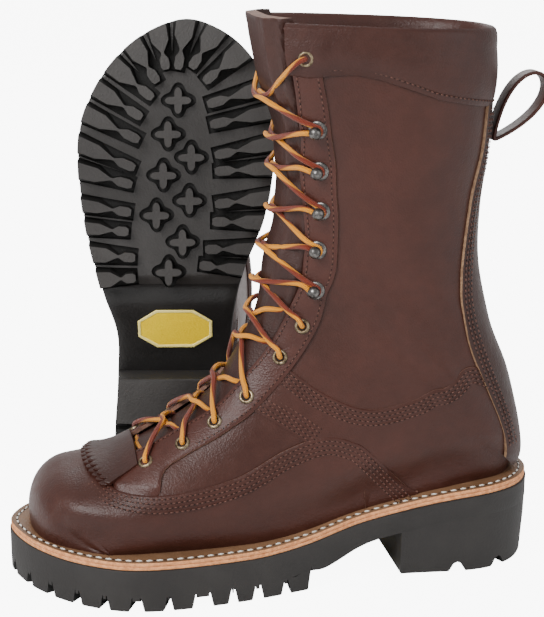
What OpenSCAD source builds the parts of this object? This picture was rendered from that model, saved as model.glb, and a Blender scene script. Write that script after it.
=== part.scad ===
// A pair of logger-style leather fire boots: the left one stands, the right one lies on its
// back behind it with its lugged sole to the front. Both come from one set of modules, built
// in a boot frame: x from the heel's back to the toe, y to the outer side, z up from the floor.

/* [Pair] */
// Angle that the lying boot's sole leans back, so that its welt and collar touch the floor
lean = 6.1; // [6:0.1:8]
// Turn of the lying boot about the vertical
turn = -10; // [-14:1:-6]
// Distance of the lying boot's middle from the standing boot's heel
lying_x = 199; // [190:1:215]
// Distance from the standing boot's middle line back to the lying boot's heel
lying_y = 73; // [72:1:100]

/* [Sole] */
// Thickness of the rubber sole under the forefoot
fore_thick = 24; // [20:1:30]
// Depth of the tread
tread_depth = 6; // [4:0.5:8]
// Height of the welt's underside at the back of the heel
heel_rise = 47; // [40:1:55]
// How far the toe of the sole lifts off the floor
toe_spring = 5.7; // [2:0.1:10]
// Thickness of the leather midsole
midsole_thick = 2.2; // [1.5:0.1:4]
// Thickness of the stitched welt
welt_thick = 2.3; // [1.5:0.1:3]
// Height of the lugged heel lift
lift_thick = 8; // [6:0.5:12]
// Distance from the heel's back to its front face
heel_len = 84; // [75:1:90]
// Width of the badge set in the shank
badge_w = 45; // [30:1:50]

/* [Upper] */
// Thickness of the upper leather
leather = 2.0; // [1.6:0.1:2.4]
// Gap left between neighbouring pieces
gap = 0.35; // [0.3:0.05:0.5]

/* [Lacing] */
// Lace diameter
lace_d = 3.6; // [3:0.1:4]
// Outer radius of an eyelet's rim
eyelet_r = 4.3; // [3.8:0.1:5]
// Radius of an eyelet's hole
eyelet_hole_r = 2.5; // [2.2:0.1:2.8]
// Radius of a lace hook's ball
hook_r = 3.4; // [3:0.1:4]

/* [Hidden] */
PIECES = [
    "outsole", "heel_base", "heel_lift", "sole_badge", "midsole", "welt", "cork_filler",
    "steel_shank", "insole", "toe_box", "heel_counter", "lining", "vamp",
    "outer_vamp_side", "inner_vamp_side", "outer_quarter", "inner_quarter",
    "outer_shaft", "inner_shaft", "outer_eyestay", "inner_eyestay", "collar", "backstay",
    "tongue", "tongue_top", "kiltie", "pull_loop", "eyelets", "lace_hooks", "lace"
];
centre_x = 146;
centre_y = -170.5;
// Depths of the layers, out from the upper's surface: the base panels, and the sheets sewn over them
panel_low = -leather / 2 - 0.2;
panel_top = leather / 2 - 0.2;
facing_low = panel_top + gap + 0.5;
facing_top = facing_low + leather;

// Outline of the sole: one side from the heel's back to the toe, then the other side back
OUTLINE = [
    [0, 0], [5, 17], [18, 31], [40, 39], [80, 37], [110, 36.5], [140, 45], [175, 53], [210, 57],
    [238, 55.5], [261.5, 46], [280.5, 32], [294.5, 14], [302, -8], [297, -27], [284.5, -44], [265.5, -56],
    [240, -61], [210, -61], [180, -55], [150, -43], [118, -36], [80, -34], [40, -37],
    [18, -30], [5, -17]
];
outline_steps = 3;
outline_len = len(OUTLINE);
// How far the upper stands in from the sole's edge, and how far the welt reaches under it
upper_inset = 11;
welt_w = 16;
// Slope and height of the shank's underside under the badge
shank_slope = 9;
shank_z = 21.5;

brown = [0.31, 0.16, 0.13];
dark_brown = [0.25, 0.13, 0.11];
rubber = [0.11, 0.11, 0.11];
tan_edge = [0.72, 0.47, 0.27];
brass = [0.55, 0.45, 0.28];
gunmetal = [0.25, 0.25, 0.27];
orange = [0.88, 0.48, 0.14];

// ---- curves ----

function blend4(a, b, c, d, u) =
    0.5 * (2 * b + (c - a) * u + (2 * a - 5 * b + 4 * c - d) * u * u + (3 * b - a - 3 * c + d) * u * u * u);
function ease(u) = let (v = min(1, max(0, u))) v * v * (3 - 2 * v);
function unit(v) = v / norm(v);

function outline_point(i, u) = blend4(
    OUTLINE[(i + outline_len - 1) % outline_len], OUTLINE[i],
    OUTLINE[(i + 1) % outline_len], OUTLINE[(i + 2) % outline_len], u);
function edge() = [for (i = [0 : outline_len - 1], k = [0 : outline_steps - 1])
    outline_point(i, k / outline_steps)];
function inset_edge(d) = let (e = edge(), n = len(e))
    [for (i = [0 : n - 1]) let (run = unit(e[(i + 1) % n] - e[(i + n - 1) % n]))
        e[i] + d * [run[1], -run[0]]];

// Height of the sole's floor side at the toe, and of the welt's underside along the boot
function spring(x) = toe_spring * pow(max(0, (x - 235) / 73), 2);
function welt_z(x) = fore_thick + spring(x) + (heel_rise - fore_thick) * ease((175 - x) / 150);
function sole_under(x) = x < 132 ? welt_z(x) - 13
    : let (u = ease((x - 132) / 20)) (1 - u) * (welt_z(x) - 13) + u * spring(x);

// ---- the upper's surface ----
// Each section lies in a plane through a front point and a back or bottom point:
// [front x, y, z, bottom x, z, outer half-width, inner half-width, start angle,
//  height of the widest place, roundness below it, roundness above it]
SECTIONS = [
    [290, -8, 34.5, 250, 29.5, 44, 50, -1, 0.02, 1, 0.95],
    [289, -8, 44, 250, 29.5, 46, 52, -14, 0.12, 1, 0.85],
    [284.5, -7, 54, 250, 29.5, 47, 53, -20, 0.20, 1, 0.80],
    [275, -6, 61.5, 250, 29.5, 47, 53, -24, 0.24, 1, 0.80],
    [260.5, -4, 65.5, 248, 29.5, 47, 53, -26, 0.26, 1, 0.85],
    [244, -2, 70.5, 242, 29.5, 47, 52, -26, 0.26, 1, 0.95],
    [225, 0, 81, 222, 29.5, 47, 51, -24, 0.24, 1, 1.00],
    [206, 0, 92.5, 198, 29.5, 46, 49, -22, 0.22, 1, 1.00],
    [188, 0, 106.5, 166, 30, 43, 44, -22, 0.22, 1, 0.95],
    [172, 0, 129, 130, 34.5, 38, 38, -26, 0.24, 1, 0.90],
    [159, 0, 152, 92, 43.5, 36, 36, -30, 0.27, 1, 0.80],
    [153, 0, 175, 54, 51, 36, 36, -38, 0.30, 0.9, 0.72],
    [150, 0, 193, 24, 52.5, 37, 37, -58, 0.34, 0.8, 0.68],
    [149, 0, 207, 9, 57, 38, 38, -90, 0.38, 0.75, 0.65],
    [149, 0, 220, 10, 80, 38, 38, -90, 0.40, 0.75, 0.62],
    [149, 0, 233, 18, 112, 39, 39, -90, 0.42, 0.78, 0.60],
    [149, 0, 246, 30, 143, 40, 40, -90, 0.44, 0.80, 0.58],
    [149, 0, 258, 37.5, 176, 41, 41, -90, 0.45, 0.80, 0.55],
    [153, 0, 271, 38, 208, 42, 42, -90, 0.46, 0.80, 0.50],
    [157, 0, 284, 34, 240, 43, 43, -90, 0.47, 0.80, 0.47],
    [160, 0, 298, 32, 270, 44, 44, -90, 0.48, 0.80, 0.45],
    [162, 0, 312, 31, 303, 45, 45, -90, 0.48, 0.80, 0.43]
];
last_section = len(SECTIONS) - 1;

function section(s) = let (
    i = min(last_section - 1, max(0, floor(s))), b = SECTIONS[i], c = SECTIONS[i + 1],
    a = i > 0 ? SECTIONS[i - 1] : 2 * b - c,
    d = i < last_section - 1 ? SECTIONS[i + 2] : 2 * c - b)
    blend4(a, b, c, d, s - i);
// u is 0 along the front, 1 and -1 along the bottom or the back, and runs on past the back
function wrap(u) = u - 2 * floor((u + 1) / 2);
function upper(s, u) = let (
    q = section(s), w = wrap(u), side = w < 0 ? -1 : 1,
    start = min(-0.5, max(-90, q[7])), phi = start + (90 - start) * (1 - abs(w)),
    c = max(0, cos(phi)), low = phi < 0,
    y = (side > 0 ? q[5] : q[6]) * pow(c, low ? q[9] : q[10]),
    h = low ? q[8] * (1 - sin(phi) / sin(start)) : q[8] + (1 - q[8]) * sin(phi))
    [q[3] + (q[0] - q[3]) * h, side * y + q[1] * h, q[4] + (q[2] - q[4]) * h];
function outward(s, u) = let (e = 0.03, sc = min(last_section - 2 * e, max(e, s)))
    unit(cross(upper(sc, u + e) - upper(sc, u - e), upper(sc + e, u) - upper(sc - e, u)));
function lifted(s, u, d) = upper(s, u) + d * outward(s, u);

function mirrored(path) = [for (p = path) [p[0], -p[1]]];
function reversed(path) = [for (i = [len(path) - 1 : -1 : 0]) path[i]];

// A sheet between two paths on the surface, from depth lo to depth hi, in rows from a to b
module sheet(a, b, rows, lo, hi) {
    n = len(a);
    m = rows + 1;
    function at(i, j) = a[i] + (b[i] - a[i]) * j / rows;
    skin = [for (d = [hi, lo], i = [0 : n - 1], j = [0 : rows]) let (p = at(i, j)) lifted(p[0], p[1], d)];
    function id(k, i, j) = k * n * m + i * m + j;
    function quad(p, q, r, t) = [[p, q, r], [p, r, t]];
    faces = concat(
        [for (i = [0 : n - 2], j = [0 : rows - 1])
            each quad(id(0, i, j), id(0, i + 1, j), id(0, i + 1, j + 1), id(0, i, j + 1))],
        [for (i = [0 : n - 2], j = [0 : rows - 1])
            each quad(id(1, i, j), id(1, i, j + 1), id(1, i + 1, j + 1), id(1, i + 1, j))],
        [for (i = [0 : n - 2])
            each quad(id(0, i, 0), id(1, i, 0), id(1, i + 1, 0), id(0, i + 1, 0))],
        [for (i = [0 : n - 2])
            each quad(id(0, i, rows), id(0, i + 1, rows), id(1, i + 1, rows), id(1, i, rows))],
        [for (j = [0 : rows - 1])
            each quad(id(0, 0, j), id(0, 0, j + 1), id(1, 0, j + 1), id(1, 0, j))],
        [for (j = [0 : rows - 1])
            each quad(id(0, n - 1, j), id(1, n - 1, j), id(1, n - 1, j + 1), id(0, n - 1, j + 1))]);
    polyhedron(points = skin, faces = faces, convexity = 8);
}

// A sheet with the same paths on the outer side (side 1) or the inner side (side -1)
module side_sheet(side, a, b, rows, lo, hi) {
    if (side > 0) sheet(a, b, rows, lo, hi);
    else sheet(mirrored(b), mirrored(a), rows, lo, hi);
}

// ---- seams, as [section, u] paths on the outer side ----

// Edge of the facing along the lacing, and the eyestay's back edge
function facing_u(s) = lookup(s, [[4.8, 0.09], [6, 0.13], [8, 0.17], [9.8, 0.21], [11.4, 0.21],
    [13.4, 0.16], [15.9, 0.16], [18.3, 0.18], [21, 0.18]]);
function eyestay_u(s) = lookup(s, [[5.2, 0.47], [6.1, 0.47], [6.5, 0.37], [8.8, 0.40], [9.8, 0.39],
    [11, 0.36], [12.5, 0.27], [14.2, 0.26], [16, 0.29], [19, 0.30], [21, 0.31]]);
// The vamp's upper seam, from the toe to where it meets the welt in front of the heel
VAMP_SEAM = [[4.62, 0.22], [5.0, 0.38], [5.9, 0.54], [6.9, 0.58], [7.8, 0.61], [8.6, 0.63],
    [9.2, 0.65], [9.8, 0.66], [10.1, 0.70], [10.3, 0.82], [10.4, 0.97]];
// The seam between the quarter below and the shaft above
QUARTER_SEAM = [[8.95, 0.49], [9.5, 0.60], [9.95, 0.64], [10.4, 0.65], [11.2, 0.64], [11.9, 0.59],
    [12.5, 0.55], [13.3, 0.57], [14.1, 0.62], [14.6, 0.80], [14.9, 0.985]];
collar_s = 19.8;
foot_edge = 0.975;
back_edge = 0.99;

// ---- sole pieces ----

// A flat-walled layer inside the sole's outline, between two curved heights, cut at x0 and x1
module layer(inset, lo, hi, x0, x1) {
    steps = 22;
    xs = [for (i = [0 : steps]) x0 + (x1 - x0) * i / steps];
    profile = concat([for (i = [0 : steps]) [xs[i], lo[i]]], [for (i = [steps : -1 : 0]) [xs[i], hi[i]]]);
    intersection() {
        linear_extrude(height = 90) polygon(inset_edge(inset));
        rotate([90, 0, 0]) linear_extrude(height = 160, center = true) polygon(profile);
    }
}
function layer_z(x0, x1, f, d) = [for (i = [0 : 22]) let (x = x0 + (x1 - x0) * i / 22)
    (f == "welt" ? welt_z(x) : sole_under(x)) + d];

module groove(x, y, angle, length, width, taper) {
    translate([x, y, 0]) rotate([0, 0, angle]) translate([0, 0, -1])
        linear_extrude(height = 90) polygon([[0, -width / 2], [length, -width * taper / 2],
            [length, width * taper / 2], [0, width / 2]]);
}

// Rays between the edge lugs, and the open channel that runs round the middle of the tread
LUG_RAYS = [[154, 30, 82], [176, 32, 84], [197, 32, 82], [218, 30, 74], [238, 26, 62], [254, 18, 46],
    [264, 8, 26], [268, -6, 4], [264, -19, -20], [254, -30, -42], [238, -36, -60], [218, -38, -74],
    [197, -37, -83], [176, -35, -85], [155, -30, -84]];

module tread_cut() {
    translate([0, 0, -20]) for (r = LUG_RAYS) groove(r[0], r[1], r[2], 60, 4, 1.6);
    translate([0, 0, -1]) linear_extrude(height = 90) polygon([[145, 17], [185, 19], [222, 18], [246, 8],
        [250, -6], [246, -20], [222, -27], [185, -24], [145, -18]]);
}

module middle_lug(x, y) {
    for (a = [45, 135]) translate([x, y, 0]) rotate([0, 0, a])
        linear_extrude(height = tread_depth + 1) square([17, 6.5], center = true);
}

module outsole() {
    color(rubber) difference() {
        union() {
            difference() {
                layer(0, layer_z(0, 302, "under", 0), layer_z(0, 302, "welt", 0), 0, 302);
                intersection() {
                    tread_cut();
                    layer(-5, layer_z(136, 312, "under", -4), layer_z(136, 312, "under", tread_depth),
                        136, 312);
                }
            }
            for (i = [0 : 6]) middle_lug(160 + 13.5 * i, i % 2 == 0 ? 5.5 : -10.5);
        }
        badge_shape(badge_w + 1, 1.5);
    }
}

module badge_shape(w, sink) {
    h = 24 * w / 45;
    translate([112, 0, 0]) rotate([0, shank_slope, 0]) translate([0, 0, shank_z - 4])
        linear_extrude(height = 4 + sink)
            polygon([[-h / 2, -w / 4], [-h / 2, w / 4], [-h / 4, w / 2], [h / 4, w / 2], [h / 2, w / 4],
                [h / 2, -w / 4], [h / 4, -w / 2], [-h / 4, -w / 2]]);
}

module heel_base() {
    color(rubber) layer(0, [for (i = [0 : 22]) lift_thick + gap], layer_z(0, heel_len, "under", -gap),
        0, heel_len);
}

module heel_lift() {
    color(rubber) difference() {
        layer(0, [for (i = [0 : 22]) 0], [for (i = [0 : 22]) lift_thick], 0, heel_len);
        for (x = [16, 34, 52, 70], side = [-1, 1])
            translate([x, side * 27, -1]) linear_extrude(height = 6) square([6, 30], center = true);
        translate([-1, 0, -1]) linear_extrude(height = 6) square([24, 6], center = true);
        translate([44, 0, -1]) linear_extrude(height = 6) square([46, 5], center = true);
    }
}

module sole_badge() {
    color("gold") intersection() {
        badge_shape(badge_w, 1.2);
        layer(0, layer_z(84, 150, "under", -0.4), layer_z(84, 150, "under", 3), 84, 150);
    }
}

module midsole() {
    color(tan_edge) layer(0.8, layer_z(0, 302, "welt", 0.02), layer_z(0, 302, "welt", midsole_thick),
        0, 302);
}

module welt() {
    color(tan_edge) difference() {
        layer(0.8, layer_z(0, 302, "welt", midsole_thick + 0.02),
            layer_z(0, 302, "welt", midsole_thick + welt_thick), 0, 302);
        linear_extrude(height = 90) polygon(inset_edge(welt_w));
    }
}

module cork_filler() {
    color("peru") layer(welt_w + gap, layer_z(172, 300, "welt", midsole_thick + 0.1),
        layer_z(172, 300, "welt", midsole_thick + welt_thick - 0.1), 172, 300);
}

module steel_shank() {
    color("silver") intersection() {
        layer(0, layer_z(40, 168, "welt", midsole_thick + 0.3),
            layer_z(40, 168, "welt", midsole_thick + 1.6), 40, 168);
        translate([104, -1, 0]) linear_extrude(height = 90) square([130, 15], center = true);
    }
}

module insole() {
    color("wheat") layer(upper_inset + 3.5, layer_z(0, 302, "welt", midsole_thick + welt_thick + 0.1),
        layer_z(0, 302, "welt", midsole_thick + welt_thick + 3), 0, 302);
}

// ---- upper pieces ----

module vamp() {
    toe_u = [0.75, 0.5, 0.25];
    seam_toe = [0.165, 0.11, 0.055];
    outer_a = concat([for (p = reversed(VAMP_SEAM)) if (p[0] > 4.7) [min(p[0], 10.35), foot_edge]],
        [[2, foot_edge]], [for (u = toe_u) [0.1, u]]);
    outer_b = concat([for (p = reversed(VAMP_SEAM)) p], [for (u = seam_toe) [4.6, u]]);
    edge_a = concat(outer_a, [[0.1, 0]], mirrored(reversed(outer_a)));
    edge_b = concat(outer_b, [[4.6, 0]], mirrored(reversed(outer_b)));
    color(brown) sheet(edge_a, edge_b, 6, panel_low, panel_top);
}

module vamp_side(side) {
    low = [[5.05, 0.25], [5.5, 0.47], [6.4, 0.54], [7.3, 0.575], [8.0, 0.595], [8.6, 0.61], [9.02, 0.62]];
    high = [for (s = [4.9, 5.4, 6.1, 6.8, 7.4, 7.95, 8.4]) [s, facing_u(s)]];
    color(brown) side_sheet(side, high, low, 5, panel_low, panel_top);
}

module quarter(side) {
    low = [[9.0, 0.56], [9.45, 0.63], [9.9, 0.655], [10.2, 0.67], [10.42, 0.80], [10.6, 0.96], [11.6, 0.96],
        [12.4, 0.965], [13.2, 0.97], [14.0, 0.985], [14.75, 0.985]];
    high = [for (p = QUARTER_SEAM) p + [-0.06, 0.012]];
    color(brown) side_sheet(side, high, low, 5, panel_low, panel_top);
}

module shaft(side) {
    low = concat([for (p = QUARTER_SEAM) p + [0.05, -0.02]], [[15.5, back_edge], [16.2, back_edge],
        [17, back_edge], [18, back_edge], [19.5, back_edge], [20.9, back_edge]]);
    high = [for (s = [8.75, 9.3, 9.8, 10.4, 11, 11.7, 12.4, 13.1, 13.8, 14.6, 15.4, 16.2, 17, 17.9, 18.8,
        19.8, 20.9]) [s, facing_u(s)]];
    color(brown) side_sheet(side, high, low, 9, panel_low, panel_top);
}

module eyestay(side) {
    ss = [5.25, 5.7, 6.15, 6.6, 7.2, 8, 8.8, 9.6, 10.4, 11.2, 12, 12.8, 13.8, 15, 16.2, 17.4, 18.6, 19.8,
        20.9];
    front = [for (s = ss) [s, facing_u(s)]];
    back = [for (s = ss) [s, eyestay_u(s)]];
    color(brown) side_sheet(side, front, back, 2, facing_low, facing_top);
}

module collar() {
    us = [for (i = [0 : 22]) 0.335 + (1.665 - 0.335) * i / 22];
    color(dark_brown) sheet([for (u = us) [21, u]], [for (u = us) [collar_s, u]], 2, facing_low, facing_top);
}

module backstay() {
    ss = [13.95, 14.4, 14.9, 15.5, 16.2, 17, 17.8, 18.7, 19.7];
    half = [0.24, 0.22, 0.19, 0.16, 0.14, 0.13, 0.12, 0.12, 0.12];
    color(dark_brown) sheet([for (i = [0 : 8]) [ss[i], 1 - half[i]]], [for (i = [0 : 8]) [ss[i], 1 + half[i]]],
        5, facing_low + 0.3, facing_top + 0.3);
}

module tongue() {
    ss = [5.2, 6, 7, 8, 9, 10, 11, 12, 13, 14, 15.5, 17, 18.5, 19.7];
    color(dark_brown) sheet([for (s = ss) [s, -0.30]], [for (s = ss) [s, 0.30]], 8,
        -leather * 2.2, -leather * 1.3);
}

module tongue_top() {
    ss = [20.02, 20.5, 21];
    color(dark_brown) sheet([for (s = ss) [s, -0.12]], [for (s = ss) [s, 0.12]], 8, -leather / 2, leather / 2);
}

module kiltie() {
    us = [for (i = [0 : 12]) -0.3 + 0.05 * i];
    color(dark_brown) sheet([for (u = us) [5.1, u]], [for (u = us) [4.15 + 0.9 * u * u, u]], 3,
        facing_low, facing_low + 1.2);
}

module toe_box() {
    us = [for (i = [0 : 16]) -0.96 + 0.12 * i];
    color("gray") sheet([for (u = us) [3.3, u]], [for (u = us) [0.35, u]], 4, -leather * 2.1, -leather * 1.25);
}

module heel_counter() {
    low = [[11, 0.95], [11.8, 0.95], [12.6, 0.95], [13.3, 0.96], [13.9, 0.985], [14, 1]];
    high = [[11.4, 0.76], [12.2, 0.72], [13, 0.74], [13.8, 0.80], [14.6, 0.9], [14.8, 1]];
    back = function (path) [for (i = [len(path) - 2 : -1 : 0]) [path[i][0], 2 - path[i][1]]];
    color("tan") sheet(concat(high, back(high)), concat(low, back(low)), 3, -leather * 2.1, -leather * 1.25);
}

module lining() {
    us = [for (i = [0 : 20]) 0.36 + (1.64 - 0.36) * i / 20];
    color("burlywood") sheet([for (u = us) [20.8, u]], [for (u = us) [15.2, u]], 6, -leather * 2.4,
        -leather * 1.6);
}

// ---- pull loop ----
// A strap doubled into a drop-shaped loop, standing out from the backstay's top
loop_w = 12;
strap = 2.2;
loop_len = 50;
LOOP_ROOT = [26.5, 0, 245];
// [direction, half width] of the loop: it stands up on one boot and is folded flat under the other
LOOP_FREE = [-128, 9];
LOOP_FOLDED = [90, 2.5];

function drop(d, bulge) = [for (i = [0 : 16]) let (a = 180 * i / 16)
    [(loop_len + d) * (1 - cos(a)) / 2, (bulge + d) * sin(a) * (1.15 - 0.35 * cos(a))]];
function closed(half) = concat(half, [for (p = reversed(half)) [p[0], -p[1]]]);

module pull_loop(pose) {
    color(brown) translate(LOOP_ROOT) rotate([0, pose[0], 0]) rotate([90, 0, 0])
        linear_extrude(height = loop_w, center = true) difference() {
            polygon(closed(drop(strap, pose[1])));
            translate([strap, 0]) scale((loop_len - strap) / loop_len) polygon(closed(drop(0, pose[1])));
        }
}

// ---- lacing ----

EYELET_S = [5.9, 6.95, 7.85, 8.75, 9.8, 10.7, 11.78, 13.2, 14.85, 16.28, 17.82, 20.1];
EYELET_U = [0.28, 0.30, 0.29, 0.32, 0.32, 0.31, 0.27, 0.21, 0.215, 0.23, 0.25, 0.25];
levels = len(EYELET_S);
HOOKS = [6, 7, 8, 9, 10];
EYELETS = [0, 1, 2, 3, 4, 5, 11];

// Places its children on the surface with their z axis pointing outward
module on_upper(s, u, d) {
    z = outward(s, u);
    x = unit(cross([0, 1, 0.01], z));
    y = cross(z, x);
    p = lifted(s, u, d);
    multmatrix([[x[0], y[0], z[0], p[0]], [x[1], y[1], z[1], p[1]], [x[2], y[2], z[2], p[2]], [0, 0, 0, 1]])
        children();
}

module eyelets() {
    color(brass) for (i = EYELETS, side = [-1, 1]) on_upper(EYELET_S[i], side * EYELET_U[i], facing_top)
        rotate_extrude($fn = 32) polygon([[eyelet_hole_r, -3], [eyelet_hole_r + 0.4, -3],
            [eyelet_hole_r + 0.4, 0], [eyelet_r, 0], [eyelet_r, 0.6], [eyelet_hole_r + 0.6, 1.1],
            [eyelet_hole_r, 0.6]]);
}

module lace_hooks() {
    color(gunmetal) for (i = HOOKS, side = [-1, 1]) on_upper(EYELET_S[i], side * EYELET_U[i], facing_top) {
        cylinder(h = 0.8, r = eyelet_r + 0.4, $fn = 32);
        cylinder(h = 5, r = 1.5, $fn = 24);
        translate([0, 0, 6]) sphere(r = hook_r, $fn = 32);
    }
}

// One half of the lace climbs from side to side; over says which half passes on top
function lace_climb(start, over) = [for (i = [0 : levels - 1]) let (
    side = (i % 2 == 0 ? start : -start), s = EYELET_S[i], u = EYELET_U[i], hook = i > 5 && i < 11,
    next = i < levels - 1 ? (s + EYELET_S[i + 1]) / 2 : s,
    rest = facing_top + 2.2)
    each concat(
        hook ? [lifted(s - 0.12, side * (u - 0.03), rest + 0.4), lifted(s, side * (u + 0.075), rest + 0.4),
            lifted(s + 0.12, side * (u - 0.03), rest + 0.4)]
            : [lifted(s, side * u, -1), lifted(s + 0.08, side * (u - 0.025), rest + 1.2)],
        i < levels - 1 ? [lifted(next, 0, (i < 5 ? 5.5 : 4) + (over ? 4.2 : 0))] : [])];
function lace_tail(side) = [lifted(20.1, side * 0.25, -6), lifted(19.4, side * 0.29, -7.5),
    lifted(18.2, side * 0.33, -8)];

module tube(route, r) {
    n = len(route);
    runs = [for (i = [0 : n - 1]) unit(route[min(n - 1, i + 1)] - route[max(0, i - 1)])];
    rings = [for (i = [0 : n - 1]) let (a = unit(cross(runs[i], [0.1, 0.2, 1])), b = cross(runs[i], a))
        each [for (k = [0 : 7]) route[i] + r * (cos(45 * k) * a + sin(45 * k) * b)]];
    walls = [for (i = [0 : n - 2], k = [0 : 7]) let (p = 8 * i + k, q = 8 * i + (k + 1) % 8)
        each [[p, p + 8, q], [q, p + 8, q + 8]]];
    polyhedron(points = rings, faces = concat([[for (k = [0 : 7]) k]], walls,
        [[for (k = [7 : -1 : 0]) 8 * (n - 1) + k]]), convexity = 10);
}

module lace() {
    color(orange) tube(concat([lifted(5.9, 0, 3.5)], lace_climb(1, true), lace_tail(-1)), lace_d / 2);
    color(orange) tube(concat([lifted(5.9, 0, -1.5)], lace_climb(-1, false), lace_tail(1)), lace_d / 2);
}

// ---- assembly ----

module piece(name, loop) {
    if (name == "outsole") outsole();
    if (name == "heel_base") heel_base();
    if (name == "heel_lift") heel_lift();
    if (name == "sole_badge") sole_badge();
    if (name == "midsole") midsole();
    if (name == "welt") welt();
    if (name == "cork_filler") cork_filler();
    if (name == "steel_shank") steel_shank();
    if (name == "insole") insole();
    if (name == "toe_box") toe_box();
    if (name == "heel_counter") heel_counter();
    if (name == "lining") lining();
    if (name == "vamp") vamp();
    if (name == "outer_vamp_side") vamp_side(1);
    if (name == "inner_vamp_side") vamp_side(-1);
    if (name == "outer_quarter") quarter(1);
    if (name == "inner_quarter") quarter(-1);
    if (name == "outer_shaft") shaft(1);
    if (name == "inner_shaft") shaft(-1);
    if (name == "outer_eyestay") eyestay(1);
    if (name == "inner_eyestay") eyestay(-1);
    if (name == "collar") collar();
    if (name == "backstay") backstay();
    if (name == "tongue") tongue();
    if (name == "tongue_top") tongue_top();
    if (name == "kiltie") kiltie();
    if (name == "pull_loop") pull_loop(loop);
    if (name == "eyelets") eyelets();
    if (name == "lace_hooks") lace_hooks();
    if (name == "lace") lace();
}

// Each boot frame set down in the frame of the pair
module left_boot() {
    translate([centre_x, centre_y, 0]) rotate([0, 0, 180]) children();
}

module right_boot() {
    lift = heel_rise * sin(lean);
    translate([centre_x, centre_y, 0]) rotate([0, 0, 180])
        translate([lying_x, -lying_y, lift]) rotate([0, 0, turn]) rotate([90 + lean, 0, 0])
        rotate([0, 0, 90]) mirror([0, 1, 0]) children();
}

for (name = PIECES) {
    left_boot() piece(name, LOOP_FREE);
    right_boot() piece(name, LOOP_FOLDED);
}
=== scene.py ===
import math

import bmesh
import bpy
import numpy as np
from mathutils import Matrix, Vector


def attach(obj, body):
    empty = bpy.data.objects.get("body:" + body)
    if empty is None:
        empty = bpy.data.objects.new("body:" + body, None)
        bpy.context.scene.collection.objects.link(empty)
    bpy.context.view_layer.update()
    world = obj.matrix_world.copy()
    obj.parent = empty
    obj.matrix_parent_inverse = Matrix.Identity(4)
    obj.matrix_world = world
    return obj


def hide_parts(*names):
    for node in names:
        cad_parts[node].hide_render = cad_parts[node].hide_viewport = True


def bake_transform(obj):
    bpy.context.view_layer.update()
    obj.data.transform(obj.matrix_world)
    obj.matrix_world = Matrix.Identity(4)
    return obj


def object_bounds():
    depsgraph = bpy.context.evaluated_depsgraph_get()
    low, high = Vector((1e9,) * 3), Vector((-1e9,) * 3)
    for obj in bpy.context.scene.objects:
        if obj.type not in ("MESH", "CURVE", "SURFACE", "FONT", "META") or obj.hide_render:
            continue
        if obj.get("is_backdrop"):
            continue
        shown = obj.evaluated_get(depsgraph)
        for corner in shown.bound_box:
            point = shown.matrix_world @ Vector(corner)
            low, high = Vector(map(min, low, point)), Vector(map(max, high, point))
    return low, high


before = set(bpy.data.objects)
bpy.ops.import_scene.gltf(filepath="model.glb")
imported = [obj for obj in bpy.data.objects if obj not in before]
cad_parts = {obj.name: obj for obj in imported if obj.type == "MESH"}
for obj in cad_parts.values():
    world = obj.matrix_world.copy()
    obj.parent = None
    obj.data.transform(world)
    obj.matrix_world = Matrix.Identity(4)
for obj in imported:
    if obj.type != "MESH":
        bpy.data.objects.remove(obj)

cad_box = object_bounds()

# ---- camera, floor and light --------------------------------------------------------------


def aim(thing, place, toward):
    """Stands a camera or a lamp at place, looking along toward."""
    thing.location = place
    thing.rotation_euler = Vector(toward).to_track_quat("-Z", "Y").to_euler()
    bpy.context.scene.collection.objects.link(thing)
    return thing


lens = bpy.data.cameras.new("camera")
lens.lens = 92.83
lens.sensor_width = 36
camera = aim(bpy.data.objects.new("camera", lens), (-0.1676, -1.0182, 0.3826), (0.181, 0.949, -0.258))
bpy.context.scene.camera = camera


def softbox(name, place, size, watts):
    """A square lamp aimed at the middle of the pair."""
    lamp = bpy.data.lights.new(name, "AREA")
    lamp.size = size
    lamp.energy = watts
    aim(bpy.data.objects.new(name, lamp), place, Vector((0, 0, 0.12)) - Vector(place))


softbox("key", (-1.5, -1.5, 1.7), 1.3, 70)
softbox("fill", (1.7, -1.3, 0.9), 1.6, 10)
softbox("back", (0.3, 1.7, 1.6), 1.4, 22)

world = bpy.data.worlds.new("studio")
bpy.context.scene.world = world
world.use_nodes = True
world.node_tree.nodes["Background"].inputs["Color"].default_value = (1, 1, 1, 1)
world.node_tree.nodes["Background"].inputs["Strength"].default_value = 0.72

# ---- the boot's own frame, in millimetres -------------------------------------------------
# x runs from the heel's back to the toe, y to the outer side, z up from the floor.

PAIR_X, PAIR_Y = 146, -170.5      # the standing boot's heel
LYING_X, LYING_Y = 199, 73          # from there to the lying boot's heel
LEAN, TURN = 6.1, -10               # the lying boot's sole leans back and turns
FORE_THICK, HEEL_RISE = 24, 47      # the welt's underside at the ball and at the heel
MIDSOLE, WELT = 2.2, 2.3
TREAD = 6
TOE_SPRING = 5.7
HEEL_LEN = 84
LIFT_THICK = 8
TOE_X = 302


def turned(axis, degrees):
    """3x3 matrix that turns about x (0), y (1) or z (2)."""
    c, s = math.cos(math.radians(degrees)), math.sin(math.radians(degrees))
    i, j = [(1, 2), (2, 0), (0, 1)][axis]
    m = np.eye(3)
    m[i, i] = m[j, j] = c
    m[i, j], m[j, i] = -s, s
    return m


row_turn = turned(2, 180)
lying_lift = HEEL_RISE * math.sin(math.radians(LEAN))
PLACES = {
    "left": (row_turn, np.array([PAIR_X, PAIR_Y, 0])),
    "right": (
        row_turn @ turned(2, TURN) @ turned(0, 90 + LEAN) @ turned(2, 90) @ np.diag([1, -1, 1]),
        np.array([PAIR_X, PAIR_Y, 0]) + row_turn @ np.array([LYING_X, -LYING_Y, lying_lift]),
    ),
}


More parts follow.
